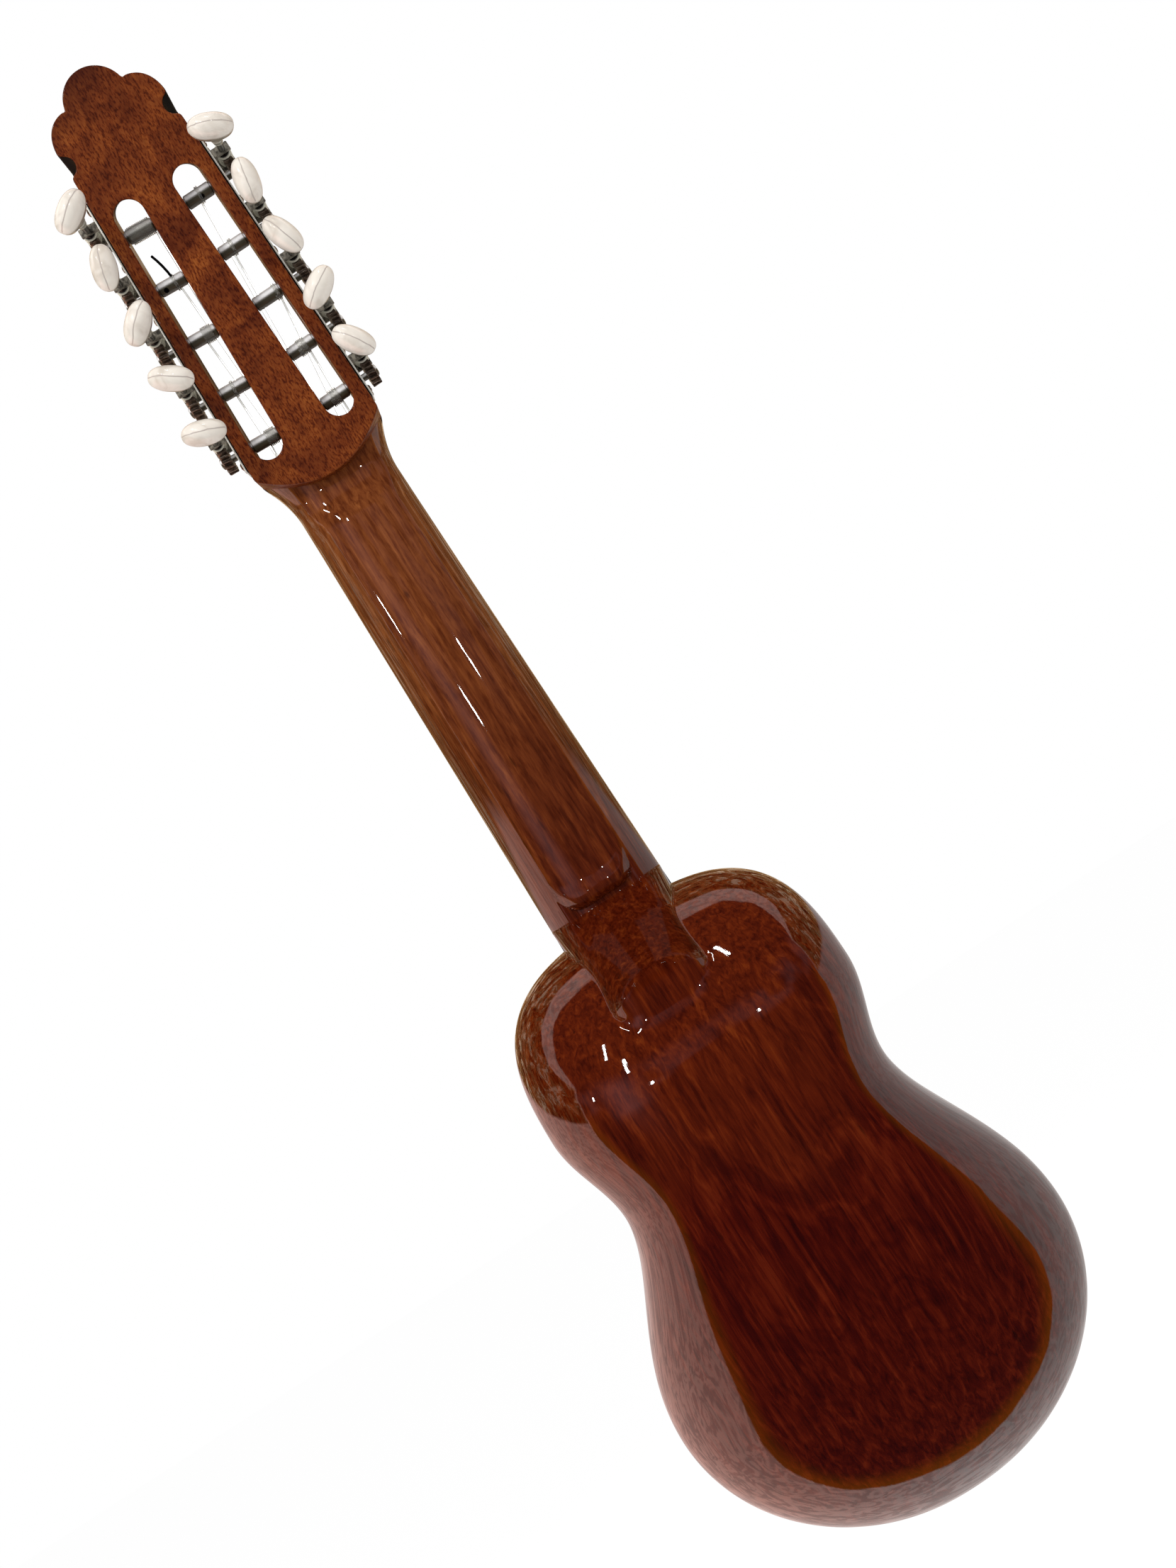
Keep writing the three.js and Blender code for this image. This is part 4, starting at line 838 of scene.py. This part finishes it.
# Teeth that lean with the worm's thread, with small chamfers at their ends.
def makeGear(side, number):
    s = gearSizes
    leanRate = tunerSizes["lead"] / (2 * math.pi * s["wormMiddle"]) / s["pitch"]
    crest, foot = s["crest"] / 2 / s["outer"], s["foot"] / 2 / s["root"]
    rise = [
        (s["root"], -foot * 1.25), (s["root"] + 0.08, -foot), (s["pitch"], -(crest + foot) * 0.46),
        (s["outer"] - 0.08, -crest * 1.1), (s["outer"], -crest * 0.6),
    ]
    radius, aside = np.array(rise + [(r, -a) for r, a in rise[::-1]]).T
    end = s["width"] / 2
    rings = []
    for x, cut in (
        (-end, s["chamfer"]), (-end + s["chamfer"], 0), (end - s["chamfer"], 0), (end, s["chamfer"]),
    ):
        angle = turnAngles(s["teeth"])[:, None] + leanRate * x + aside
        rings.append(pointsFrom(
            x, (radius - cut) * np.cos(angle), (radius - cut) * np.sin(angle),
        ).reshape(-1, 3))
    points, faces = skin(rings)
    points = points + [signs[side] * tunerSizes["offset"], 0, 0]
    makeTunerPiece("gear", side, number, points, faces, darkNickel, "winder", "dark_nickel", 28)


# The thread as a radius over turn and height: core, flank, crest, flank, once per lead.
def makeWorm(side, number):
    s, lead = wormSizes, tunerSizes["lead"]
    angle = turnAngles(40)[None, :]
    height = np.linspace(-s["length"] / 2, s["length"] / 2, 121)[:, None]
    phase = (height - lead / 2) / lead - (angle + math.pi / 2) / (2 * math.pi)
    away = np.abs(phase - np.round(phase)) * lead
    crest = 1 - smoothStep(s["crest"] / 2 - 0.05, s["foot"] / 2 + 0.05, away)
    radius = s["core"] + (s["outer"] - s["core"]) * crest
    thread = skin(pointsFrom(radius * np.cos(angle), radius * np.sin(angle), height))
    top = -buttonSizes["distance"] + 0.3
    rod, rodFaces = turnedOnX([
        (top - 8, 0.3), (top - 8, s["shaft"]), (top - 0.01, s["shaft"]), (top, 2.3), (top + 0.5, 2.6),
        (top + 1.0, 2.3), (top + 3.7, 2.05), (top + 4.0, s["shaft"]), (7.0, s["shaft"]), (7.0, 0.2),
    ], 28)
    points, faces = joined([thread, (rod[:, [1, 2, 0]], rodFaces)])
    points = np.array(points) + [signs[side] * tunerSizes["offset"], tunerSizes["wormUp"], 0]
    worm = makeTunerPiece("worm_shaft", side, number, points, faces, threadMetal, "key", "dark_nickel", 50)
    # Painted highlight: the thread's crests are bright and its gaps dark; the rod is brighter at its collar.
    rodBrightness = np.repeat([0.1] * 3 + [0.6] * 4 + [0.1] * 3, 28)
    setValues(worm, "wearAndPaintedLight", np.concatenate([smoothStep(0.35, 0.85, crest).ravel(), rodBrightness]))


# A button: squarish ellipses that widen out of its collar to a crisp edge, then a rounded crown
# with one soft ridge.
def makeButton(side, number):
    s, turn = buttonSizes, math.radians(buttonTurns[side][number - 1])
    profile = [
        (0.0, 0.30), (0.02, 0.335), (0.06, 0.34), (0.13, 0.38), (0.20, 0.50), (0.28, 0.68), (0.36, 0.81),
        (0.45, 0.90), (0.55, 0.96), (0.63, 0.99), (0.67, 1.0), (0.69, 0.993), (0.71, 0.97), (0.76, 0.92),
        (0.82, 0.84), (0.88, 0.71), (0.93, 0.55), (0.97, 0.36), (0.99, 0.2), (1.0, 0.08),
    ]
    angle = turnAngles(s["sides"])
    across, deep = (
        np.sign(wave) * np.abs(wave) ** (2 / s["power"]) for wave in (np.cos(angle), np.sin(angle))
    )
    rings = []
    for place, size in profile:
        thin = max(s["thin"] * size, 2.5 * min(1.0, size / 0.34)) if place < 0.3 else s["thin"] * size
        rings.append(pointsFrom(s["half"] * size * across, thin * deep, -s["distance"] - s["height"] * place))
    points, faces = skin(rings)
    x, y = turned(points[:, 0], points[:, 1], turn)
    points = pointsFrom(x, y, points[:, 2]) + [signs[side] * tunerSizes["offset"], tunerSizes["wormUp"], 0]
    button = makeTunerPiece("button", side, number, points, faces, pearl, "key", "pearl")
    share, size = np.repeat(profile, s["sides"], axis=0).T
    # Painted shade: marks the part below the crisp edge for a greyer tone.
    setValues(button, "under", 1 - smoothStep(0.64, 0.69, share))
    setValues(button, "across", np.where(share > 0.70, np.tile(deep, len(profile)) * size, 1))


# A box between two corners.
def boxPoints(first, second):
    spans = zip(np.minimum(first, second), np.maximum(first, second))
    points = np.stack(np.meshgrid(*spans, indexing="ij"), -1).reshape(-1, 3)
    return points, [[0, 1, 3, 2], [4, 6, 7, 5], [0, 4, 5, 1], [2, 3, 7, 6], [0, 2, 6, 4], [1, 5, 7, 3]]


# Screw heads on the strip: a dome with a cut across it.
def screwHead(place, sign, turn):
    angle = turnAngles(28)
    rings = []
    for out, radius in ((0.0, 1.6), (0.25, 1.6), (0.6, 1.3), (0.8, 0.85), (0.86, 0.4)):
        dy, dz = radius * np.cos(angle), radius * np.sin(angle)
        cut = np.where(np.abs(dy * math.cos(turn) + dz * math.sin(turn)) < 0.25, 0.4, 0.0) * (out > 0.4)
        rings.append(pointsFrom(place[0] + sign * (out - cut), place[1] + dy, place[2] + dz))
    return skin(rings)


def roundEdges(obj, width):
    bevel = obj.modifiers.new("edges", "BEVEL")
    bevel.width = width
    bevel.segments = 3
    return bevel


# A strip on the head's side in pale nickel, made near-white as a painted highlight, with two tabs at
# each worm, its screws, and a black box behind it as painted shadow in the gap between strip and wood.
def makeTunerPlate(side):
    s, sign, level = plateSizes, signs[side], -tunerSizes["level"]
    inner, outer = sign * s["gap"], sign * (s["gap"] + s["strip"])
    low, high, half = tunerUp(5) - s["low"], tunerUp(1) + s["high"], s["width"] / 2
    boxes = [boxPoints([inner, low, level - half], [outer, high, level + half])]
    for number in range(1, 6):
        up = tunerUp(number) + tunerSizes["wormUp"]
        for out, width in ((level - s["tabOut"] - s["thickness"], s["lug"]), (level + s["tabOut"], s["tab"])):
            boxes.append(boxPoints([inner, up - width / 2, out],
                                   [sign * s["reach"], up + width / 2, out + s["thickness"]]))
    points, faces = joined(boxes)
    plate = makeMesh(f"tuner_plate_{side}", fromEdge(points, side), faces, stripMetal, "nickel")
    plate.data.materials.append(tabMetal)
    for face in plate.data.polygons:
        face.material_index = int(face.index > 5)
    roundEdges(plate, 0.0003)
    places = [tunerUp(5) - s["lowScrew"]] + [tunerUp(number) + s["highScrew"] for number in range(5, 0, -1)]
    points, faces = joined([
        screwHead((outer, up, level + shift), sign, k * 1.3 + shift)
        for k, up in enumerate(places)
        for shift in ((-s["screwOut"], s["screwOut"]) if k in (0, 5) else (0.0,))
    ])
    makeMesh(f"plate_screws_{side}", fromEdge(points, side), faces, darkNickel, "dark_nickel", sharpAngle=40)
    # Painted shadow: a black box fills the gap between the strip and the wood.
    margin = s["shadowMargin"]
    points, faces = boxPoints([0, low - margin, level - half - 0.5],
                              [inner, high + margin, level + half + 0.5])
    makeMesh(f"plate_shadow_{side}", fromEdge(points, side), faces, blackLine, "ebony", smooth=False)


for side in signs:
    makeTunerPlate(side)
    for number in range(1, 6):
        makeRoller(side, number)
        makeGear(side, number)
        makeWorm(side, number)
        makeButton(side, number)
print("tuners made")


# Soundboard, fingerboard, bridge and strings

front = {
    "holeZ": -277.2, "holeRadius": 27.0, "boardEnd": -243.0, "boardBow": 2.5, "boardDepth": 5.0,
    "frets": 18, "scale": 370.0, "nutHeight": 7.2, "nutSpacing": 8.9, "nutPair": 2.2, "saddleTop": 11.6,
    "saddleSpacing": 11.0, "saddlePair": 2.8, "bridgeTail": -384.0, "tieWidth": 6.5, "tieDepth": 4.2,
    "stringRadius": 0.35,
}


# The body's outline drawn in along its own normals, with its points closer at both ends.
def bodyLoop(inset):
    first, last = body["topZ"] - 0.15, body["shouldersZ"] - body["length"] + 0.05
    share = np.linspace(0, 1, 160)
    z = blend(first, last, (share + cosineStep(share)) / 2)
    right = np.stack([bodyHalfWidth(z), z], -1)
    tangent = np.gradient(right, axis=0)
    normal = np.stack([-tangent[:, 1], tangent[:, 0]], -1)
    right = right - normal / np.linalg.norm(normal, axis=1)[:, None] * inset
    right[:, 0] = np.maximum(right[:, 0], 0.2)
    return np.concatenate([right, right[::-1] * [-1, 1]])


# Stands a flat drawing up: its Y is the row's Z, and its thickness lies along the row's Y.
def standing(depth):
    return lambda p: np.stack([p[:, 0], depth - p[:, 2], p[:, 1]], -1)


# The soundboard with its round hole, three rings of inlay round it and a dark line at the edge.
def makeSoundboard():
    hole = circle(0, front["holeZ"], front["holeRadius"])
    slab("soundboard", [bodyLoop(0.0), hole], 2.5, 0.35, spruce, standing(1.25))
    for name, outer, inner, material in (
        ("hole_ring_outer", 34.0, 33.2, blackLine), ("hole_ring_middle", 33.2, 30.2, rosewood),
        ("hole_ring_inner", 30.2, 29.4, bone),
    ):
        loops = [circle(0, front["holeZ"], radius) for radius in (outer, inner)]
        slab(name, loops, 0.3, 0.05, material, standing(0.06))
    slab("top_purfling", [bodyLoop(2.0), bodyLoop(2.9)], 0.3, 0.05, blackLine, standing(0.08))


# A fret's place: it lies from the saddle by the scale times 2 to the power of -number / 12.
def fretZ(number):
    return -front["scale"] * (1 - 2 ** (-number / 12))


def boardHalf(z):
    return blend(neck["nutHalf"], neck["bodyHalf"], z / body["topZ"])


# The board, widening evenly and bowed at its end, with its frets and dots.
def makeFingerboard():
    end, depth = front["boardEnd"], front["boardDepth"]
    t = np.linspace(-1, 1, 25)
    foot = np.stack([t * boardHalf(end), end + front["boardBow"] * (1 - t * t)], -1)
    loop = np.concatenate([foot, [[neck["nutHalf"], 0], [-neck["nutHalf"], 0]]])
    slab("fingerboard", [loop], depth, 0.4, ebony, standing(-depth / 2))
    angle = np.linspace(0, math.pi, 12)
    bars = []
    for number in range(1, front["frets"] + 1):
        half = boardHalf(fretZ(number)) - 0.3
        bars.append(skin([
            pointsFrom(x, -depth - height * np.sin(angle) + 0.01, fretZ(number) + np.cos(angle))
            for x, height in ((-half, 0.45), (-half + 0.6, 1.0), (half - 0.6, 1.0), (half, 0.45))
        ]))
    makeMesh("frets", *joined(bars), nickel, "nickel", sharpAngle=50)
    dots = []
    for number, places in ((5, (0,)), (7, (0,)), (10, (0,)), (12, (-9, 9))):
        z = (fretZ(number) + fretZ(number - 1)) / 2
        for x in places:
            rings = [(circle(x, z, radius, 32), y) for radius, y in ((2.2, -4.9), (2.2, -5.03), (0.4, -5.05))]
            dots.append(skin([pointsFrom(ring[:, 0], y, ring[:, 1]) for ring, y in rings]))
    makeMesh("position_dots", *joined(dots), pearl, "pearl", sharpAngle=40)


# Gives an exact node its material and round edges.
def dress(nodeName, material):
    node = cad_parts[nodeName]
    node.data.materials.clear()
    node.data.materials.append(material)
    bevel = roundEdges(node, 0.0004)
    bevel.limit_method = "ANGLE"
    bevel.angle_limit = math.radians(35)


# Straight runs between corners, in steps of about 30 mm and at least three each.
def straightPath(corners):
    path = []
    for a, b in zip(corners[:-1], corners[1:]):
        count = max(3, int(np.linalg.norm(b - a) / 30))
        path += [a + (b - a) * k / count for k in range(count)]
    return path + [corners[-1]]


def makeCord(name, path, radius, material=nylon, bodyName="instrument"):
    makeMesh(name, *tubeAlong(path, radius), material, "nylon", bodyName)


# A string from the tie block over saddle and nut to its roller, wound round it as a helix, and
# its loop on the tie block. Courses lie evenly spaced, with a pair of strings in each.
def makeString(side, number):
    s, sign, lift = front, signs[side], front["stringRadius"]
    winder = f"winder_{side}_{number}"
    index = 5 - number
    course, pair = 2 - index // 2, 0.5 if index % 2 == 0 else -0.5
    atNut = sign * (course * s["nutSpacing"] + pair * s["nutPair"])
    atSaddle = sign * (course * s["saddleSpacing"] + pair * s["saddlePair"])
    first, last = (-head["rail"] - head["slotWidth"] * share for share in windingSpans[(side, number)])
    landing, direction = (first, -1) if number > 2 else (last, 1)
    tail, tie = s["bridgeTail"], s["bridgeTail"] + s["tieWidth"]
    corners = [
        (atSaddle, -s["tieDepth"], tail + 0.1), (atSaddle, -s["tieDepth"], tie + 0.6),
        (atSaddle, -s["saddleTop"] - lift - 0.1, -s["scale"] - 1.4),
        (atSaddle, -s["saddleTop"] - lift - 0.15, -s["scale"]), (atNut, -s["nutHeight"] - lift - 0.12, 0.3),
    ]
    if number == 1:
        corners.append(fromHead([sign * 9.5, 58.5, 1.8 + lift + 0.1]))
    corners.append(fromTuner([sign * landing, 0, rollerSizes["radius"] + lift], side, number))
    makeCord(f"string_{side}_{number}",
             straightPath([np.asarray(corner, dtype=float) for corner in corners]), lift)
    pitch, reach = lift * 2.08, rollerSizes["radius"] + lift * 0.9
    turns = abs(last - first) / pitch
    t = np.linspace(0, turns, int(turns * 26))
    across = sign * (landing + direction * t * pitch)
    coil = pointsFrom(across, -reach * np.sin(2 * math.pi * t), reach * np.cos(2 * math.pi * t))
    makeCord(f"winding_{side}_{number}", fromTuner(coil, side, number), lift, bodyName=winder)
    if (side, number) == ("left", 2):
        end = [
            (-13.1, 2.0, -2.2), (-12.9, 3.6, -3.4), (-12.3, 6.2, -4.2), (-11.5, 9.0, -4.0),
            (-10.6, 11.6, -3.4),
        ]
        makeCord("string_end", fromTuner(end, side, number), lift * 1.6, blackLine, winder)
    t = np.linspace(0, 1, 30)
    swell = np.sin(math.pi * t)
    loop = pointsFrom(atSaddle + 0.9 * swell, -s["tieDepth"] - 3.4 * swell,
                      tail - 0.3 + (tie - tail + 0.6) * t)
    makeCord(f"tie_{side}_{number}", loop, lift)


makeSoundboard()
makeFingerboard()
dress("nut", bone)
dress("saddle", bone)
dress("bridge", rosewood)
for side in signs:
    for number in range(1, 6):
        makeString(side, number)
print("front made")


# Camera, floor, world and lamps

view = {
    "focal": 1733.9, "height": 2212, "place": (-0.00438, 0.49594, -0.19039), "roll": 0.569, "pitch": -0.076,
    "yaw": 0.029,
}


# The photo's camera: it looks along -Y with Z up, and is then turned by yaw, pitch and roll.
def makeCamera():
    camera = bpy.data.objects.new("photo_camera", bpy.data.cameras.new("photo_camera"))
    bpy.context.scene.collection.objects.link(camera)
    turn = Matrix(((-1, 0, 0), (0, 0, 1), (0, 1, 0)))
    for angle, axis in (("yaw", "Y"), ("pitch", "X"), ("roll", "Z")):
        turn = Matrix.Rotation(view[angle], 3, axis) @ turn
    camera.matrix_world = Matrix.Translation(view["place"]) @ turn.transposed().to_4x4()
    camera.data.sensor_fit = "VERTICAL"
    camera.data.sensor_height = 36
    camera.data.lens = 36 * view["focal"] / view["height"]
    camera.data.clip_start = 0.01
    camera.data.clip_end = 50
    bpy.context.scene.camera = camera


# The warm brown band that the upper lacquer mirrors, broken into dark, middle and pale spots.
def makeBrown(tree, place):
    carved = noiseNode(tree, place, 5.5, 5.0, 0.75, 1.5)
    brown = mixColour(tree, stepNode(tree, carved, 0.42, 0.5), (0.02, 0.012, 0.008, 1), (0.5, 0.28, 0.1, 1))
    return mixColour(tree, stepNode(tree, carved, 0.54, 0.6), brown, (1.5, 1.2, 0.85, 1))


# The pale band: pinker to the left, greyer to the right, warmer above, with faint swirls, and
# grey straight behind the object.
def makePale(tree, place, x, y, high):
    pale = mixColour(tree, rangeNode(tree, x, 0.0, 0.6), (1.7, 1.55, 1.5, 1), (2.7, 1.55, 1.3, 1))
    pale = mixColour(tree, rangeNode(tree, x, 0.0, -0.6), pale, (1.05, 0.98, 0.94, 1))
    pale = mixColour(tree, stepNode(tree, high, 0.3, 0.6), pale, (2.1, 1.5, 1.35, 1))
    swirl = multiply(tree, stepNode(tree, noiseNode(tree, place, 7.0, 4.0, 0.5, 3.0), 0.44, 0.58), 0.5)
    pale = mixColour(tree, swirl, pale, (0.7, 0.55, 0.52, 1))
    level = multiplyAdd(tree, rangeNode(tree, y, -0.95, -0.2), -0.62, 0.62)
    return mixColour(tree, level, pale, (0.2, 0.2, 0.2, 1))


# The dark side behind the photographer, with a pink haze in one narrow and one wide patchy
# place, and a brown rim along its border.
def makeShade(tree, x, high, wobble, over):
    toHaze = mathNode(tree, "ABSOLUTE", mathNode(tree, "ADD", x, -0.4))
    haze = multiply(tree, stepNode(tree, toHaze, 0.26, 0.0), stepNode(tree, high, -0.15, 0.1))
    haze = multiply(tree, haze, stepNode(tree, high, 0.6, 0.4))
    wide = multiply(tree, stepNode(tree, high, 0.16, 0.3), stepNode(tree, high, 0.62, 0.42))
    patches = multiply(tree, stepNode(tree, wobble, -0.012, 0.012), 0.4)
    haze = mathNode(tree, "MAXIMUM", haze, multiply(tree, wide, patches))
    shade = mixColour(tree, haze, (0.05, 0.04, 0.045, 1), (0.75, 0.46, 0.5, 1))
    rim = multiply(tree, stepNode(tree, over, 0.2, 0.0), stepNode(tree, high, 0.3, 0.0))
    return mixColour(tree, rim, shade, (0.9, 0.28, 0.03, 1))


# The room: white to the camera, even to matt surfaces, and for mirror rays dark behind the
# photographer, pale at the sides and below, and warm brown above. Over is how far a direction
# lies past the border into the dark side; the border bends with height and wobbles a little.
def makeWorld():
    world = bpy.data.worlds.new("studio")
    bpy.context.scene.world = world
    world.use_nodes = True
    tree = world.node_tree
    rays = addNode(tree, "ShaderNodeLightPath").outputs
    place = addNode(tree, "ShaderNodeTexCoord").outputs["Generated"]
    x, y, high = partsOf(tree, place)
    wobble = multiplyAdd(tree, noiseNode(tree, place, 3.0, 2.0), 0.14, -0.07)
    edge = multiplyAdd(tree, mathNode(tree, "ABSOLUTE", x), 0.15,
                       rangeNode(tree, high, 0.5, 0.95, 0.28, -0.1))
    edge = multiplyAdd(tree, x, 0.1, edge)
    edge = multiplyAdd(tree, stepNode(tree, multiply(tree, high, -1.0), 0.3, 0.85), -0.2, edge)
    over = mathNode(tree, "SUBTRACT", mathNode(tree, "ADD", y, wobble), edge)
    bandWidth = rangeNode(tree, high, 0.5, 0.65, -0.02, -0.24)
    belowBand = stepNode(tree, mathNode(tree, "SUBTRACT", bandWidth, over), -0.015, 0.015)
    behind = mathNode(tree, "MAXIMUM", multiply(tree, y, -0.13), 0.0)
    brownShare = multiply(tree, belowBand, stepNode(tree, mathNode(tree, "ADD", high, behind), 0.1, 0.14))
    mirror = mixColour(tree, brownShare, makePale(tree, place, x, y, high), makeBrown(tree, place))
    dark = stepNode(tree, over, -0.012, 0.012)
    mirror = mixColour(tree, dark, mirror, makeShade(tree, x, high, wobble, over))
    soft = mixColour(tree, rangeNode(tree, y, -0.6, 1.0), (0.55, 0.55, 0.56, 1), (0.85, 0.84, 0.83, 1))
    final = mixColour(tree, rays["Is Glossy Ray"], soft, mirror)
    final = mixColour(tree, rays["Is Transmission Ray"], final, (1, 1, 1, 1))
    final = mixColour(tree, rays["Is Camera Ray"], final, (1, 1, 1, 1))
    feed(tree, tree.nodes["Background"], {"Color": final, "Strength": 1.0})


# A rectangular lamp that faces its target; its sides are level and upright to the way it faces.
def addLamp(name, place, target, size, power, mirrored=True):
    lamp = bpy.data.lights.new(name, "AREA")
    lamp.shape = "RECTANGLE"
    lamp.size, lamp.size_y = size
    lamp.energy = power
    obj = bpy.data.objects.new(name, lamp)
    bpy.context.scene.collection.objects.link(obj)
    along = np.subtract(place, target)
    along = along / np.linalg.norm(along)
    side = np.cross([0, 0, 1], along)
    side /= np.linalg.norm(side)
    other = np.cross(along, side)
    obj.matrix_world = Matrix([[side[k], other[k], along[k], place[k]] for k in range(3)] + [[0, 0, 0, 1]])
    obj.visible_glossy = mirrored


# A wide pale floor far below, part matt and, to the camera, mostly glowing white.
def makeFloor():
    size, low = 6.0, -1.5
    material, tree = newMaterial("pale_floor")
    finished(material, {"Base Color": (0.9, 0.9, 0.9, 1), "Roughness": 0.9, "Specular IOR Level": 0.0})
    glow = addNode(tree, "ShaderNodeEmission", {"Color": (1, 1, 1, 1), "Strength": 1.12}).outputs[0]
    seen = multiply(tree, addNode(tree, "ShaderNodeLightPath").outputs["Is Camera Ray"], 0.75)
    matt = tree.nodes["Principled BSDF"].outputs[0]
    both = addNode(tree, "ShaderNodeMixShader", {0: seen, 1: matt, 2: glow}).outputs[0]
    tree.links.new(both, tree.nodes["Material Output"].inputs["Surface"])
    mesh = bpy.data.meshes.new("floor")
    corners = [(-size, -size, low), (size, -size, low), (size, size, low), (-size, size, low)]
    mesh.from_pydata(corners, [], [[0, 1, 2, 3]])
    mesh.materials.append(material)
    floor = bpy.data.objects.new("floor", mesh)
    bpy.context.scene.collection.objects.link(floor)
    floor.visible_glossy = False


makeCamera()
makeWorld()
makeFloor()
addLamp("key", (0.7, 1.6, 1.3), (0, 0, -0.2), (0.6, 0.6), 16, mirrored=False)
addLamp("front", (0.5, -1.6, 0.8), (0, 0, -0.2), (1.0, 1.0), 20, mirrored=False)
ceiling = [
    (0.66, 0.68, 0.34), (-0.24, 0.93, 0.27), (0.18, 0.95, 0.23), (0.25, 0.80, 0.55), (-0.2, 0.45, 0.87),
    (0.3, 0.62, 0.72),
]
for k, (x, y, z) in enumerate(ceiling):
    size, power = ((0.036, 0.09), 1.4) if k < 3 else ((0.036, 0.36), 2.4)
    addLamp(f"spot_{k}", (2.2 * x, 2.2 * y, 2.2 * z - 0.15), (0, 0, -0.15), size, power)

bpy.context.scene.view_settings.view_transform = "Standard"
